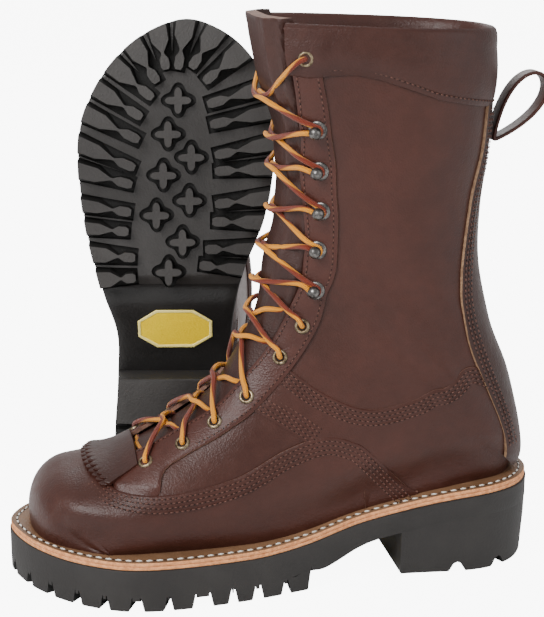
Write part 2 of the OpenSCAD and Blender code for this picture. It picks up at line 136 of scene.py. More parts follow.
def placed(points, boot):
    """Points of the boot's frame in the row frame, in metres."""
    turn, shift = PLACES[boot]
    return (np.asarray(points, float) @ turn.T + shift) / 1000


# ---- curves -------------------------------------------------------------------------------


def ease(u):
    u = np.clip(u, 0, 1)
    return u * u * (3 - 2 * u)


def bend_through(stations, t):
    """Catmull-Rom curve through rows of numbers; t counts rows and may be an array."""
    rows = np.asarray(stations, float)
    last = len(rows) - 1
    i = np.clip(np.floor(t).astype(int), 0, last - 1)
    u = (t - i)[..., None]
    b, c = rows[i], rows[i + 1]
    a = np.where((i > 0)[..., None], rows[np.maximum(i - 1, 0)], 2 * b - c)
    d = np.where((i < last - 1)[..., None], rows[np.minimum(i + 2, last)], 2 * c - b)
    return 0.5 * (2 * b + (c - a) * u + (2 * a - 5 * b + 4 * c - d) * u ** 2 + (3 * b - a - 3 * c + d) * u ** 3)


def runs(points):
    """Length along a polyline at each of its points."""
    steps = np.linalg.norm(np.diff(points, axis=0), axis=-1)
    return np.concatenate([[0], np.cumsum(steps)])


# ---- the upper's surface ------------------------------------------------------------------
# Sections from the toe to the top: front x, y, z, bottom x, z, outer half width, inner half
# width, start angle, height of the widest place, roundness below it, roundness above it.

SECTIONS = np.array([
    [290, -8, 34.5, 250, 29.5, 44, 50, -1, 0.02, 1, 0.95],
    [289, -8, 44, 250, 29.5, 46, 52, -14, 0.12, 1, 0.85],
    [284.5, -7, 54, 250, 29.5, 47, 53, -20, 0.20, 1, 0.80],
    [275, -6, 61.5, 250, 29.5, 47, 53, -24, 0.24, 1, 0.80],
    [260.5, -4, 65.5, 248, 29.5, 47, 53, -26, 0.26, 1, 0.85],
    [244, -2, 70.5, 242, 29.5, 47, 52, -26, 0.26, 1, 0.95],
    [225, 0, 81, 222, 29.5, 47, 51, -24, 0.24, 1, 1.00],
    [206, 0, 92.5, 198, 29.5, 46, 49, -22, 0.22, 1, 1.00],
    [188, 0, 106.5, 166, 30, 43, 44, -22, 0.22, 1, 0.95],
    [172, 0, 129, 130, 34.5, 38, 38, -26, 0.24, 1, 0.90],
    [159, 0, 152, 92, 43.5, 36, 36, -30, 0.27, 1, 0.80],
    [153, 0, 175, 54, 51, 36, 36, -38, 0.30, 0.9, 0.72],
    [150, 0, 193, 24, 52.5, 37, 37, -58, 0.34, 0.8, 0.68],
    [149, 0, 207, 9, 57, 38, 38, -90, 0.38, 0.75, 0.65],
    [149, 0, 220, 10, 80, 38, 38, -90, 0.40, 0.75, 0.62],
    [149, 0, 233, 18, 112, 39, 39, -90, 0.42, 0.78, 0.60],
    [149, 0, 246, 30, 143, 40, 40, -90, 0.44, 0.80, 0.58],
    [149, 0, 258, 37.5, 176, 41, 41, -90, 0.45, 0.80, 0.55],
    [153, 0, 271, 38, 208, 42, 42, -90, 0.46, 0.80, 0.50],
    [157, 0, 284, 34, 240, 43, 43, -90, 0.47, 0.80, 0.47],
    [160, 0, 298, 32, 270, 44, 44, -90, 0.48, 0.80, 0.45],
    [162, 0, 312, 31, 303, 45, 45, -90, 0.48, 0.80, 0.43],
])
TOP_S = len(SECTIONS) - 1


def surface(s, a):
    """Point at section s and at angle a round it: 0 in front, positive on the outer side, 180 behind."""
    s, a = np.broadcast_arrays(np.asarray(s, float), np.asarray(a, float))
    a = (a + 180) % 360 - 180
    q = np.moveaxis(bend_through(SECTIONS, s), -1, 0)
    outer = a >= 0
    phi = np.radians(90 - np.abs(a))
    start = np.radians(np.clip(q[7], -90, -0.5))
    low = phi < 0
    wide = np.maximum(np.cos(phi), 0) ** np.where(low, q[9], q[10]) * np.where(outer, q[5], q[6])
    h = np.where(low, q[8] * (1 - np.sin(phi) / np.sin(start)), q[8] + (1 - q[8]) * np.sin(phi))
    x = q[3] + (q[0] - q[3]) * h
    z = q[4] + (q[2] - q[4]) * h
    return np.stack([x, np.where(outer, wide, -wide) + q[1] * h, z], axis=-1)


def outward(s, a):
    """Unit normals of the surface, pointing out of the boot."""
    s, a = np.broadcast_arrays(np.asarray(s, float), np.asarray(a, float))
    e, t = 0.05, 2.5
    sc = np.clip(s, 0.4, TOP_S - e)
    n = np.cross(surface(sc, a + t) - surface(sc, a - t), surface(sc + e, a) - surface(sc - e, a))
    return n / np.linalg.norm(n, axis=-1, keepdims=True)


def lifted(s, a, d):
    """Point at depth d out from the surface."""
    return surface(s, a) + np.asarray(d, float)[..., None] * outward(s, a)


def foot_a(s):
    """Angle of the upper's lower edge, where it meets the welt."""
    q = bend_through(SECTIONS, np.asarray(s, float))
    return 90 - np.clip(q[..., 7], -90, -0.5)


def row_of(path, count):
    """Evenly spaced (s, a) places along a path of (s, a) control points on the surface."""
    fine = bend_through(path, np.linspace(0, len(path) - 1, 40 * len(path)))
    length = runs(surface(fine[:, 0], fine[:, 1]))
    even = np.linspace(0, length[-1], count)
    return np.stack([np.interp(even, length, fine[:, 0]), np.interp(even, length, fine[:, 1])], axis=-1)


def net_between(edge_a, edge_b, count, rows):
    """(count, rows, 2) places of a panel between two paths with the same number of control points."""
    t = np.linspace(0, len(edge_a) - 1, 40 * len(edge_a))
    a, b = bend_through(edge_a, t), bend_through(edge_b, t)
    length = runs(surface(a[:, 0], a[:, 1])) + runs(surface(b[:, 0], b[:, 1]))
    pick = np.interp(np.linspace(0, length[-1], count), length, t)
    a, b = bend_through(edge_a, pick), bend_through(edge_b, pick)
    fine = a[:, None] + (b - a)[:, None] * np.linspace(0, 1, 60)[None, :, None]
    spots = surface(fine[..., 0], fine[..., 1])
    steps = np.linalg.norm(np.diff(spots, axis=1), axis=-1)
    along = np.concatenate([np.zeros((count, 1)), np.cumsum(steps, axis=1)], axis=1)
    net = np.empty((count, rows, 2))
    for i in range(count):
        even = np.linspace(0, along[i, -1], rows)
        for k in range(2):
            net[i, :, k] = np.interp(even, along[i], fine[i, :, k])
    return net


# ---- meshes -------------------------------------------------------------------------------


class Shell:
    """Points of the boot's frame and faces between them, gathered into one piece."""

    def __init__(self):
        self.points, self.faces, self.finishes, self.uv, self.count = [], [], [], [], 0

    def add(self, points, faces, finish=0, uv=None):
        points = np.asarray(points, float).reshape(-1, 3)
        for face in faces:
            self.faces.append([int(i) + self.count for i in face])
            self.finishes.append(finish)
        self.points.append(points)
        self.uv.append(np.zeros((len(points), 2)) if uv is None else np.asarray(uv, float).reshape(-1, 2))
        self.count += len(points)
        return self

    def strip(self, grid, finish=0, around=False, uv=None):
        """Quads over a grid of points; around joins its last row to its first."""
        n, m = grid.shape[:2]
        faces = []
        for i in range(n if around else n - 1):
            for j in range(m - 1):
                k = (i + 1) % n
                faces.append((i * m + j, k * m + j, k * m + j + 1, i * m + j + 1))
        return self.add(grid, faces, finish, uv)

    def mesh(self, name, boot):
        points = np.concatenate(self.points)
        mesh = bpy.data.meshes.new(name)
        faces = [f[::-1] for f in self.faces] if boot == "right" else self.faces
        mesh.from_pydata(placed(points, boot).tolist(), [], faces)
        mesh.polygons.foreach_set("material_index", self.finishes)
        uv = np.concatenate(self.uv)
        if uv.any():
            layer = mesh.uv_layers.new(name="along")
            corners = np.empty(len(mesh.loops), int)
            mesh.loops.foreach_get("vertex_index", corners)
            layer.data.foreach_set("uv", uv[corners].ravel())
        mesh.update()
        return mesh


def merged(mesh, distance=0.00002):
    """Welds points that lie on each other and makes the faces point outwards."""
    work = bmesh.new()
    work.from_mesh(mesh)
    bmesh.ops.remove_doubles(work, verts=work.verts, dist=distance)
    bmesh.ops.dissolve_degenerate(work, edges=work.edges, dist=distance / 10)
    bmesh.ops.recalc_face_normals(work, faces=work.faces)
    work.to_mesh(mesh)
    work.free()


def finished(name, mesh, finishes, body, nodes=(), crease=38):
    """One piece of the pair: its object, materials and body, and the CAD nodes that it stands for."""
    piece = bpy.data.objects.new(name, mesh)
    bpy.context.scene.collection.objects.link(piece)
    picks = np.empty(len(mesh.polygons), int)
    mesh.polygons.foreach_get("material_index", picks)
    mesh.materials.clear()
    for finish in finishes:
        mesh.materials.append(finish)
    mesh.polygons.foreach_set("material_index", np.minimum(picks, len(finishes) - 1))
    mesh.shade_smooth()
    mesh.set_sharp_from_angle(angle=math.radians(crease))
    if isinstance(body, str):
        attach(piece, body)
    if nodes:
        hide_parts(*nodes)
    return piece


def both_boots(name, shell, finishes, nodes=(), slot=None, part="boot", crease=38):
    """The same piece on each boot."""
    made = []
    for boot in PLACES:
        mesh = shell.mesh(f"{boot}_{name}", boot)
        merged(mesh)
        made.append(finished(f"{boot}_{name}", mesh, finishes, f"{boot}_{part}",
                             [f"{boot}_{n}" for n in nodes], crease))
    return made


# ---- finishes -----------------------------------------------------------------------------


class Value:
    """A socket that takes part in sums."""

    def __init__(self, finish, socket):
        self.finish, self.socket = finish, socket

    def _sum(self, kind, a, b):
        return self.finish.node("ShaderNodeMath", {"operation": kind}, a, b)

    def __add__(self, other): return self._sum("ADD", self, other)
    def __radd__(self, other): return self._sum("ADD", other, self)
    def __sub__(self, other): return self._sum("SUBTRACT", self, other)
    def __rsub__(self, other): return self._sum("SUBTRACT", other, self)
    def __mul__(self, other): return self._sum("MULTIPLY", self, other)
    def __rmul__(self, other): return self._sum("MULTIPLY", other, self)
    def sine(self): return self.finish.node("ShaderNodeMath", {"operation": "SINE"}, self)
    def clipped(self): return self.finish.node("ShaderNodeMath", {"operation": "ADD", "use_clamp": True}, self, 0)

    def ramp(self, *stops):
        """Smooth steps between (place, value) stops."""
        out = stops[0][1]
        for (p, v), (q, w) in zip(stops, stops[1:]):
            t = self.finish.node("ShaderNodeMapRange", {"interpolation_type": "SMOOTHSTEP"}, self, p, q, 0, 1)
            out = out + t * (w - v)
        return out


class Finish:
    """A material that is written as sums on its sockets."""

    def __init__(self, name, **constants):
        self.material = bpy.data.materials.new(name)
        self.material.use_nodes = True
        self.tree = self.material.node_tree
        self.shader = self.tree.nodes["Principled BSDF"]
        for key, value in constants.items():
            self.shader.inputs[key.replace("_", " ").title().replace("Ior", "IOR")].default_value = value

    def node(self, kind, settings=None, *values, output=0, **named):
        made = self.tree.nodes.new(kind)
        for key, value in (settings or {}).items():
            setattr(made, key, value)
        for key, value in [*enumerate(values), *((k.replace("_", " "), v) for k, v in named.items())]:
            socket = made.inputs[key]
            if isinstance(value, Value):
                self.tree.links.new(value.socket, socket)
            elif isinstance(value, (tuple, list)) and len(value) == 3 and socket.type == "RGBA":
                socket.default_value = (*value, 1)
            elif value is not None:
                socket.default_value = value
        return Value(self, made.outputs[output])

    def place(self):
        return self.node("ShaderNodeTexCoord", output="Object")

    def noise(self, where, scale, detail=3, rough=0.5):
        return self.node("ShaderNodeTexNoise", None, Vector=where, Scale=scale, Detail=detail, Roughness=rough)

    def cells(self, where, scale, feature="F1"):
        return self.node("ShaderNodeTexVoronoi", {"feature": feature}, Vector=where, Scale=scale)

    def mix(self, factor, a, b):
        made = self.tree.nodes.new("ShaderNodeMix")
        made.data_type = "RGBA"
        for index, value in ((0, factor), (6, a), (7, b)):
            if isinstance(value, Value):
                self.tree.links.new(value.socket, made.inputs[index])
            else:
                made.inputs[index].default_value = value if index == 0 else (*value, 1)
        return Value(self, made.outputs[2])

    def parts(self, vector):
        """The x, y and z of a vector."""
        split = self.tree.nodes.new("ShaderNodeSeparateXYZ")
        self.tree.links.new(vector.socket, split.inputs[0])
        return [Value(self, out) for out in split.outputs]

    def wear(self, color=None, roughness=None, height=None, depth=0.0004):
        """Links what changes over the surface, and returns the material."""
        for value, name in ((color, "Base Color"), (roughness, "Roughness")):
            if isinstance(value, Value):
                self.tree.links.new(value.socket, self.shader.inputs[name])
        if height is not None:
            bump = self.node("ShaderNodeBump", None, Height=height, Distance=depth, Strength=1.0)
            self.tree.links.new(bump.socket, self.shader.inputs["Normal"])
        return self.material


def leather(name, dark, light, rough=0.42, grain=1.0, coat=0.05):
    """Oiled leather: mottled pull-up colour, fine pores and soft wrinkles."""
    f = Finish(name, coat_weight=coat, coat_roughness=0.30, specular_ior_level=0.30)
    where = f.place()
    clouds = f.noise(where, 14, 4, 0.55)
    flecks = f.noise(where, 130, 3, 0.6)
    pores = f.cells(where, 950)
    folds = f.noise(where, 260, 4, 0.6)
    pull = (clouds.ramp((0.30, 0.0), (0.72, 1.0)) * 0.75 + flecks.ramp((0.35, 0), (0.75, 1)) * 0.35).clipped()
    color = f.mix(pull, dark, light)
    roughness = rough + (flecks - 0.5) * 0.22 + (clouds - 0.5) * 0.14
    height = pores * 0.45 + folds * 0.9
    return f.wear(color, roughness, height, 0.00028 * grain)


def raw_edge(name, dark, light):
    """The cut edge of a leather piece: drier and paler than its face, with layers along it."""
    f = Finish(name, roughness=0.72)
    where = f.place()
    layers = f.noise(where, 420, 4, 0.65)
    return f.wear(f.mix(layers.ramp((0.3, 0), (0.7, 1)), dark, light), None, layers, 0.0004)


def rubber(name, dark, light, rough=0.62):
    """Moulded rubber with a dusty bloom and a fine mould texture."""
    f = Finish(name, specular_ior_level=0.35)
    where = f.place()
    bloom = f.noise(where, 22, 5, 0.6)
    speck = f.noise(where, 700, 2, 0.5)
    color = f.mix((bloom.ramp((0.3, 0), (0.75, 1)) * 0.8 + speck * 0.2).clipped(), dark, light)
    return f.wear(color, rough + (bloom - 0.5) * 0.25, speck + bloom * 0.5, 0.00022)


def metal(name, dark, light, rough=0.3, worn=0.5):
    """Plated metal, rubbed bright in places."""
    f = Finish(name, metallic=0.95)
    where = f.place()
    patina = f.noise(where, 380, 4, 0.65)
    scratch = f.noise(where, 1500, 2, 0.5)
    rubbed = patina.ramp((0.5 - worn / 3, 0), (0.5 + worn / 3, 1))
    return f.wear(f.mix(rubbed, dark, light), rough + (1 - rubbed) * 0.25, patina + scratch * 0.3, 0.00008)


def thread(name, dark, light, twist=2400.0):
    """Waxed thread: a fine slanting twist."""
    f = Finish(name, roughness=0.6, specular_ior_level=0.3)
    where = f.place()
    x, y, z = f.parts(where)
    lay = ((x + y + z) * twist).sine() * 0.5 + 0.5
    fuzz = f.noise(where, 900, 2, 0.5)
    return f.wear(f.mix((lay * 0.5 + fuzz * 0.5).clipped(), dark, light), None, lay, 0.00015)


def plain_stock(name, dark, light, rough, scale, depth):
    """Fibrous stock: cork, board, lining or insole leather."""
    f = Finish(name, specular_ior_level=0.3)
    where = f.place()
    grains = f.cells(where, scale)
    clouds = f.noise(where, scale / 8, 4, 0.6)
    color = f.mix((grains * 0.6 + clouds.ramp((0.3, 0), (0.7, 1)) * 0.5).clipped(), dark, light)
    return f.wear(color, rough + (clouds - 0.5) * 0.2, grains + clouds, depth)


def laced_cord(name, gold, red):
    """Round lace: a gold braid with a red-brown tracer winding round it."""
    f = Finish(name, roughness=0.58, sheen_weight=0.15, specular_ior_level=0.3)
    uv = f.node("ShaderNodeUVMap", {"uv_map": "along"})
    along, round_it, _ = f.parts(uv)
    winding = ((along * 0.20 + round_it) * (2 * math.pi)).sine()
    tracer = winding.ramp((-0.35, 0), (0.45, 1))
    strand = ((along * 7 + round_it * 4) * (2 * math.pi)).sine()
    other = ((along * 7 - round_it * 4) * (2 * math.pi)).sine()
    weave = (strand * other) * 0.5 + 0.5
    color = f.mix((weave * 0.5 + 0.1).clipped(), f.mix(tracer, gold, red),
                  f.mix(tracer, (0.26, 0.085, 0.006), (0.07, 0.010, 0.003)))
    color = f.mix(0.30, color, f.mix(tracer, gold, red))
    return f.wear(color, None, weave, 0.0004)


brown_leather = leather("brown_leather", (0.036, 0.0098, 0.0060), (0.058, 0.0172, 0.0108))
eyestay_leather = leather("eyestay_leather", (0.040, 0.0108, 0.0068), (0.070, 0.0205, 0.0135), 0.42)
dark_leather = leather("dark_leather", (0.026, 0.0088, 0.0062), (0.046, 0.0165, 0.0120), 0.46, 1.2)
collar_leather = leather("collar_leather", (0.032, 0.0092, 0.0060), (0.054, 0.0165, 0.0110), 0.42, 1.2)
cut_edge = raw_edge("cut_edge", (0.10, 0.045, 0.03), (0.20, 0.10, 0.065))
pale_edge = raw_edge("pale_edge", (0.16, 0.085, 0.045), (0.30, 0.18, 0.10))
seam_thread = thread("seam_thread", (0.055, 0.021, 0.015), (0.150, 0.068, 0.050))
# Near-black stock for the dots between stitches and the discs in the eyelets: painted shade for the inside of the
# holes.
painted_hole_shade = plain_stock("painted_hole_shade", (0.006, 0.003, 0.002), (0.02, 0.009, 0.007), 0.8, 900, 0.0001)
white_thread = thread("white_thread", (0.55, 0.52, 0.46), (0.95, 0.93, 0.88))
welt_top = leather("welt_top", (0.13, 0.065, 0.032), (0.24, 0.13, 0.068), 0.5, 1.6, 0.03)
welt_side = raw_edge("welt_side", (0.50, 0.19, 0.070), (0.80, 0.36, 0.150))
sole_rubber = rubber("sole_rubber", (0.018, 0.016, 0.015), (0.034, 0.031, 0.029))
# Darker rubber for the shank's underside: painted shade, as the shank lies in shade under the arch.
shank_rubber_painted_shade = rubber("shank_rubber_painted_shade", (0.010, 0.009, 0.0085), (0.018, 0.0165, 0.0155), 0.4)
lug_rubber = rubber("lug_rubber", (0.030, 0.027, 0.0255), (0.050, 0.046, 0.043), 0.48)
floor_rubber = rubber("floor_rubber", (0.026, 0.0235, 0.022), (0.050, 0.046, 0.044), 0.34)
# Near-black rubber for the walls of the pockets and notches and the sides of the lugs: painted shade in the recesses.
pocket_rubber_painted_shade = rubber("pocket_rubber_painted_shade", (0.004, 0.0035, 0.003), (0.009, 0.008, 0.007), 0.7)
badge_yellow = rubber("badge_yellow", (0.95, 0.62, 0.003), (1.0, 0.72, 0.006), 0.4)
badge_rim = rubber("badge_rim", (0.98, 0.80, 0.22), (1.0, 0.86, 0.30), 0.4)
antique_brass = metal("antique_brass", (0.07, 0.050, 0.030), (0.34, 0.27, 0.17), 0.34)
dark_metal = metal("dark_metal", (0.045, 0.042, 0.040), (0.21, 0.20, 0.19), 0.22, 0.6)
shank_steel = metal("shank_steel", (0.30, 0.30, 0.31), (0.62, 0.62, 0.64), 0.35)
lining_leather = leather("lining_leather", (0.040, 0.016, 0.011), (0.070, 0.029, 0.021), 0.6, 1.2, 0.0)
insole_leather = plain_stock("insole_leather", (0.30, 0.19, 0.11), (0.55, 0.38, 0.24), 0.7, 900, 0.0002)
cork = plain_stock("cork", (0.20, 0.11, 0.05), (0.52, 0.34, 0.18), 0.85, 520, 0.0006)
fibre_board = plain_stock("fibre_board", (0.22, 0.14, 0.08), (0.40, 0.28, 0.17), 0.8, 700, 0.0002)
toe_plate = plain_stock("toe_plate", (0.20, 0.20, 0.19), (0.36, 0.36, 0.34), 0.6, 600, 0.0001)
lace_cord = laced_cord("lace_cord", (0.88, 0.33, 0.005), (0.20, 0.022, 0.003))

# ---- the floor ----------------------------------------------------------------------------

pale = Finish("pale_floor", roughness=0.75, specular_ior_level=0.2)
spot = pale.noise(pale.place(), 3, 2)
pale.wear(pale.mix(spot, (0.90, 0.90, 0.90), (0.93, 0.93, 0.93)))
glow = pale.node("ShaderNodeEmission", None, Strength=14.0)
seen = pale.node("ShaderNodeLightPath", output="Is Camera Ray") * 0.6
both = pale.node("ShaderNodeMixShader", None, seen, Value(pale, pale.shader.outputs[0]), glow)
pale.tree.links.new(both.socket, pale.tree.nodes["Material Output"].inputs["Surface"])
floor_mesh = bpy.data.meshes.new("floor")
floor_mesh.from_pydata([(-4, -4, 0), (4, -4, 0), (4, 6, 0), (-4, 6, 0)], [], [(0, 1, 2, 3)])
floor_mesh.materials.append(pale.material)
floor = bpy.data.objects.new("floor", floor_mesh)
bpy.context.scene.collection.objects.link(floor)
floor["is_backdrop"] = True

# ---- repeated parts -----------------------------------------------------------------------


def sewing_tree():
    """Geometry Nodes: along each line of the input, a stitch at every pitch, with a dark dot between: painted shade in
    a needle hole.
    """
    tree = bpy.data.node_groups.new("sewn_rows", "GeometryNodeTree")
    tree.interface.new_socket("Lines", in_out="INPUT", socket_type="NodeSocketGeometry")
    for name, kind in (("Pitch", "Float"), ("Stitch", "Vector"), ("Hole", "Vector"), ("Thread", "Material"),
                       ("Dark", "Material")):
        tree.interface.new_socket(name, in_out="INPUT", socket_type="NodeSocket" + kind)
    tree.interface.new_socket("Sewn", in_out="OUTPUT", socket_type="NodeSocketGeometry")
    entry, leave = tree.nodes.new("NodeGroupInput"), tree.nodes.new("NodeGroupOutput")

    def node(kind, settings=None, **links):
        made = tree.nodes.new(kind)
        for key, value in (settings or {}).items():
            setattr(made, key, value)
        for key, value in links.items():
            socket = made.inputs[key.replace("_", " ")]
            if isinstance(value, bpy.types.NodeSocket):
                tree.links.new(value, socket)
            else:
                socket.default_value = value
        return made

    line = node("GeometryNodeMeshToCurve", Mesh=entry.outputs["Lines"])
    stops = node("GeometryNodeResampleCurve", {"mode": "LENGTH"}, Curve=line.outputs[0],
                 Length=entry.outputs["Pitch"])
    up = node("GeometryNodeInputNamedAttribute", {"data_type": "FLOAT_VECTOR"}, Name="up")
    tangent = node("GeometryNodeInputTangent")
    turn = node("FunctionNodeAxesToRotation", {"primary_axis": "Z", "secondary_axis": "X"},
                Primary_Axis=up.outputs[0], Secondary_Axis=tangent.outputs[0])
    half = node("ShaderNodeMath", {"operation": "MULTIPLY"})
    tree.links.new(entry.outputs["Pitch"], half.inputs[0])
    half.inputs[1].default_value = 0.5
    onward = node("ShaderNodeVectorMath", {"operation": "SCALE"}, Vector=tangent.outputs[0], Scale=half.outputs[0])
    bead = node("GeometryNodeMeshIcoSphere", Radius=0.5, Subdivisions=1)
    dot = node("GeometryNodeMeshIcoSphere", Radius=0.5, Subdivisions=1)
    moved = node("GeometryNodeSetPosition", Geometry=stops.outputs[0], Offset=onward.outputs[0])
    joined = node("GeometryNodeJoinGeometry")
    # The dots between the stitches take the near-black material: painted shade in the needle holes.
    for points, solid, size, paint in ((stops, bead, "Stitch", "Thread"), (moved, dot, "Hole", "Dark")):
        row = node("GeometryNodeInstanceOnPoints", Points=points.outputs[0], Instance=solid.outputs[0],
                   Rotation=turn.outputs[0], Scale=entry.outputs[size])
        real = node("GeometryNodeRealizeInstances", Geometry=row.outputs[0])
        painted = node("GeometryNodeSetMaterial", Geometry=real.outputs[0], Material=entry.outputs[paint])
        tree.links.new(painted.outputs[0], joined.inputs[0])
    tree.links.new(joined.outputs[0], leave.inputs[0])
    return tree


SEWING = sewing_tree()


def fitting_tree():
    """Geometry Nodes: stamps one turned fitting on each point of the input, standing along its up."""
    tree = bpy.data.node_groups.new("fittings", "GeometryNodeTree")
    tree.interface.new_socket("Spots", in_out="INPUT", socket_type="NodeSocketGeometry")
    tree.interface.new_socket("Fitting", in_out="INPUT", socket_type="NodeSocketObject")
    tree.interface.new_socket("Metal", in_out="INPUT", socket_type="NodeSocketMaterial")
    tree.interface.new_socket("Set", in_out="OUTPUT", socket_type="NodeSocketGeometry")
    entry, leave = tree.nodes.new("NodeGroupInput"), tree.nodes.new("NodeGroupOutput")
    info = tree.nodes.new("GeometryNodeObjectInfo")
    up = tree.nodes.new("GeometryNodeInputNamedAttribute")
    up.data_type = "FLOAT_VECTOR"
    up.inputs["Name"].default_value = "up"
    turn = tree.nodes.new("FunctionNodeAlignRotationToVector")
    turn.axis = "Z"
    on = tree.nodes.new("GeometryNodeInstanceOnPoints")
    real = tree.nodes.new("GeometryNodeRealizeInstances")
    paint = tree.nodes.new("GeometryNodeSetMaterial")
    tree.links.new(entry.outputs["Fitting"], info.inputs["Object"])
    tree.links.new(up.outputs[0], turn.inputs["Vector"])
    tree.links.new(entry.outputs["Spots"], on.inputs["Points"])
    tree.links.new(info.outputs["Geometry"], on.inputs["Instance"])
    tree.links.new(turn.outputs[0], on.inputs["Rotation"])
    tree.links.new(on.outputs[0], real.inputs[0])
    tree.links.new(real.outputs[0], paint.inputs["Geometry"])
    tree.links.new(entry.outputs["Metal"], paint.inputs["Material"])
    tree.links.new(paint.outputs[0], leave.inputs[0])
    return tree


FITTING = fitting_tree()


def grown(name, points, edges, ups, tree, **inputs):
    """Runs a tree on points or lines, and returns the result as a plain mesh."""
    seed = bpy.data.meshes.new(name + "_seed")
    seed.from_pydata(np.asarray(points).tolist(), edges, [])
    seed.attributes.new("up", "FLOAT_VECTOR", "POINT").data.foreach_set("vector", np.asarray(ups, float).ravel())
    host = bpy.data.objects.new(name + "_seed", seed)
    bpy.context.scene.collection.objects.link(host)
    grow = host.modifiers.new("grow", "NODES")
    grow.node_group = tree
    for socket in tree.interface.items_tree:
        if socket.in_out == "INPUT" and socket.name in inputs:
            grow[socket.identifier] = inputs[socket.name]
    host.data.update()
    bpy.context.view_layer.update()
    mesh = bpy.data.meshes.new_from_object(host.evaluated_get(bpy.context.evaluated_depsgraph_get()))
    mesh.name = name
    picks = np.empty(len(mesh.polygons), int)
    mesh.polygons.foreach_get("material_index", picks)
    kinds, (used, picks) = list(mesh.materials), np.unique(picks, return_inverse=True)
    mesh.materials.clear()
    for kind in used:
        mesh.materials.append(kinds[kind])
    mesh.polygons.foreach_set("material_index", picks.ravel())
    host.modifiers.clear()
    bpy.data.objects.remove(host)
    return mesh


def turned_up(normals, boot):
    """Directions of the boot's frame in the row frame."""
    return np.asarray(normals) @ PLACES[boot][0].T


def sew(name, rows, pitch, stitch, hole, yarn):
    """Rows of stitches; each row is (points, ups) in the boot's frame, sizes in millimetres."""
    points = np.concatenate([r[0] for r in rows])
    ups = np.concatenate([r[1] for r in rows])
    edges, start = [], 0
    for r in rows:
        edges += [(start + i, start + i + 1) for i in range(len(r[0]) - 1)]
        start += len(r[0])
    for boot in PLACES:
        mesh = grown(f"{boot}_{name}", placed(points, boot), edges, turned_up(ups, boot), SEWING,
                     Pitch=pitch / 1000, Stitch=[v / 1000 for v in stitch], Hole=[v / 1000 for v in hole],
                     Thread=yarn, Dark=painted_hole_shade)
        finished(f"{boot}_{name}", mesh, list(mesh.materials), f"{boot}_boot", crease=180)


def mirrored(path):
    return [(s, -a) for s, a in path]


def beside(path, offsets, count, lift, wavy=1.0, fold=0.0):
    """Rows beside a seam, at each offset in millimetres to the left of its direction on the surface."""
    line = row_of(path, count)
    points, ups = surface(line[:, 0], line[:, 1]), outward(line[:, 0], line[:, 1])
    ahead = np.gradient(points, axis=0)
    ahead /= np.linalg.norm(ahead, axis=1, keepdims=True)
    aside = np.cross(ups, ahead)
    rows = []
    for d in offsets:
        spots = points + aside * d
        rise = lift + wavy * gently(spots) + fold * creases(line)
        rows.append((spots + ups * rise[:, None], ups))
    return rows


# ---- seams of the upper, as (section, angle) paths on the outer side -----------------------

PANEL_LOW, PANEL_TOP = -1.2, 0.8
VAMP_TOP = 2.4          # the vamp lies over the quarter, and the quarter over the shaft
QUARTER_TOP = 1.7
EYESTAY_TOP = 3.3
SKIRT_HIGH, SKIRT_SINK, SKIRT_SOFT = 32, 2.0, 1.2      # how the leather turns in just above the welt
FACING_EDGE = [(5.0, 14), (5.6, 17), (6.4, 19), (7.4, 21), (8.4, 25), (9.4, 28), (10.22, 29), (11.36, 31),
               (12.38, 30), (13.48, 30), (15.9, 29), (18.3, 34), (19.24, 35), (20.66, 34), (21, 32)]
EYESTAY_BACK = [(5.35, 50), (6.1, 55), (6.3, 44), (6.5, 42), (7.3, 42), (8.12, 43), (8.78, 46), (10.0, 46),
                (11.0, 46), (11.9, 44), (12.56, 45), (14.18, 48), (16.02, 52), (18.4, 54), (19.6, 53), (21, 53)]
COUNTER_SEAM = [(9.82, 45.5), (10.04, 58.5), (10.31, 69), (10.6, 76.5), (11.0, 81), (11.64, 84), (12.69, 88.5),
                (13.88, 103), (14.44, 118), (14.65, 136), (14.8, 156), (14.85, 180)]
VAMP_SEAM = [(4.64, 27), (5.0, 45), (5.88, 60), (6.86, 66), (7.76, 68), (8.41, 69), (8.91, 70.2), (9.41, 73),
             (9.79, 77), (10.07, 83), (10.24, 91), (10.42, 122)]
QUARTER_FRONT = [(8.72, 45), (8.86, 51), (9.09, 60.5), (9.39, 74)]


# The outline of the sole, seen from above
OUTLINE = [(0, 0), (5, 17), (18, 31), (40, 39), (80, 37), (110, 36.5), (140, 45), (175, 53), (210, 57), (238, 55.5),
           (261.5, 46), (280.5, 32), (294.5, 14), (302, -8), (297, -27), (284.5, -44), (265.5, -56), (240, -61),
           (210, -61), (180, -55), (150, -43), (118, -36), (80, -34), (40, -37), (18, -30), (5, -17)]
TOE_POINT = OUTLINE.index((302, -8))


def outline(steps=16):
    """Fine closed outline of the sole, and its inward normals."""
    n = len(OUTLINE)
    ring = np.array(OUTLINE[-2:] + OUTLINE + OUTLINE[:3], float)
    line = bend_through(ring, 2 + np.arange(n * steps) / steps)
    ahead = np.roll(line, -1, 0) - np.roll(line, 1, 0)
    ahead /= np.linalg.norm(ahead, axis=1, keepdims=True)
    return line, np.stack([ahead[:, 1], -ahead[:, 0]], axis=1)


EDGE, INWARD = outline()
TOE_INDEX = TOE_POINT * 16


def side_at(x, inset=0.0):
    """(inner, outer) y of the outline at x."""
    line = EDGE + INWARD * inset
    upper = line[:TOE_INDEX + 1]
    lower = np.concatenate([line[TOE_INDEX:], line[:1]])[::-1]
    return np.interp(x, lower[:, 0], lower[:, 1]), np.interp(x, upper[:, 0], upper[:, 1])


def welt_z(x):
    """Underside of the midsole."""
    spring = TOE_SPRING * (np.maximum(0, x - 235) / 73) ** 2
    return FORE_THICK + spring + (HEEL_RISE - FORE_THICK) * ease((175 - x) / 150)


def gently(points):
    """A little unevenness, as worn leather has."""
    x, y, z = points[..., 0], points[..., 1], points[..., 2]
    return 0.22 * np.sin(x / 17 + z / 11) * np.sin(z / 23 - y / 15) + 0.13 * np.sin(x / 7.3 - z / 9.1 + y / 8)


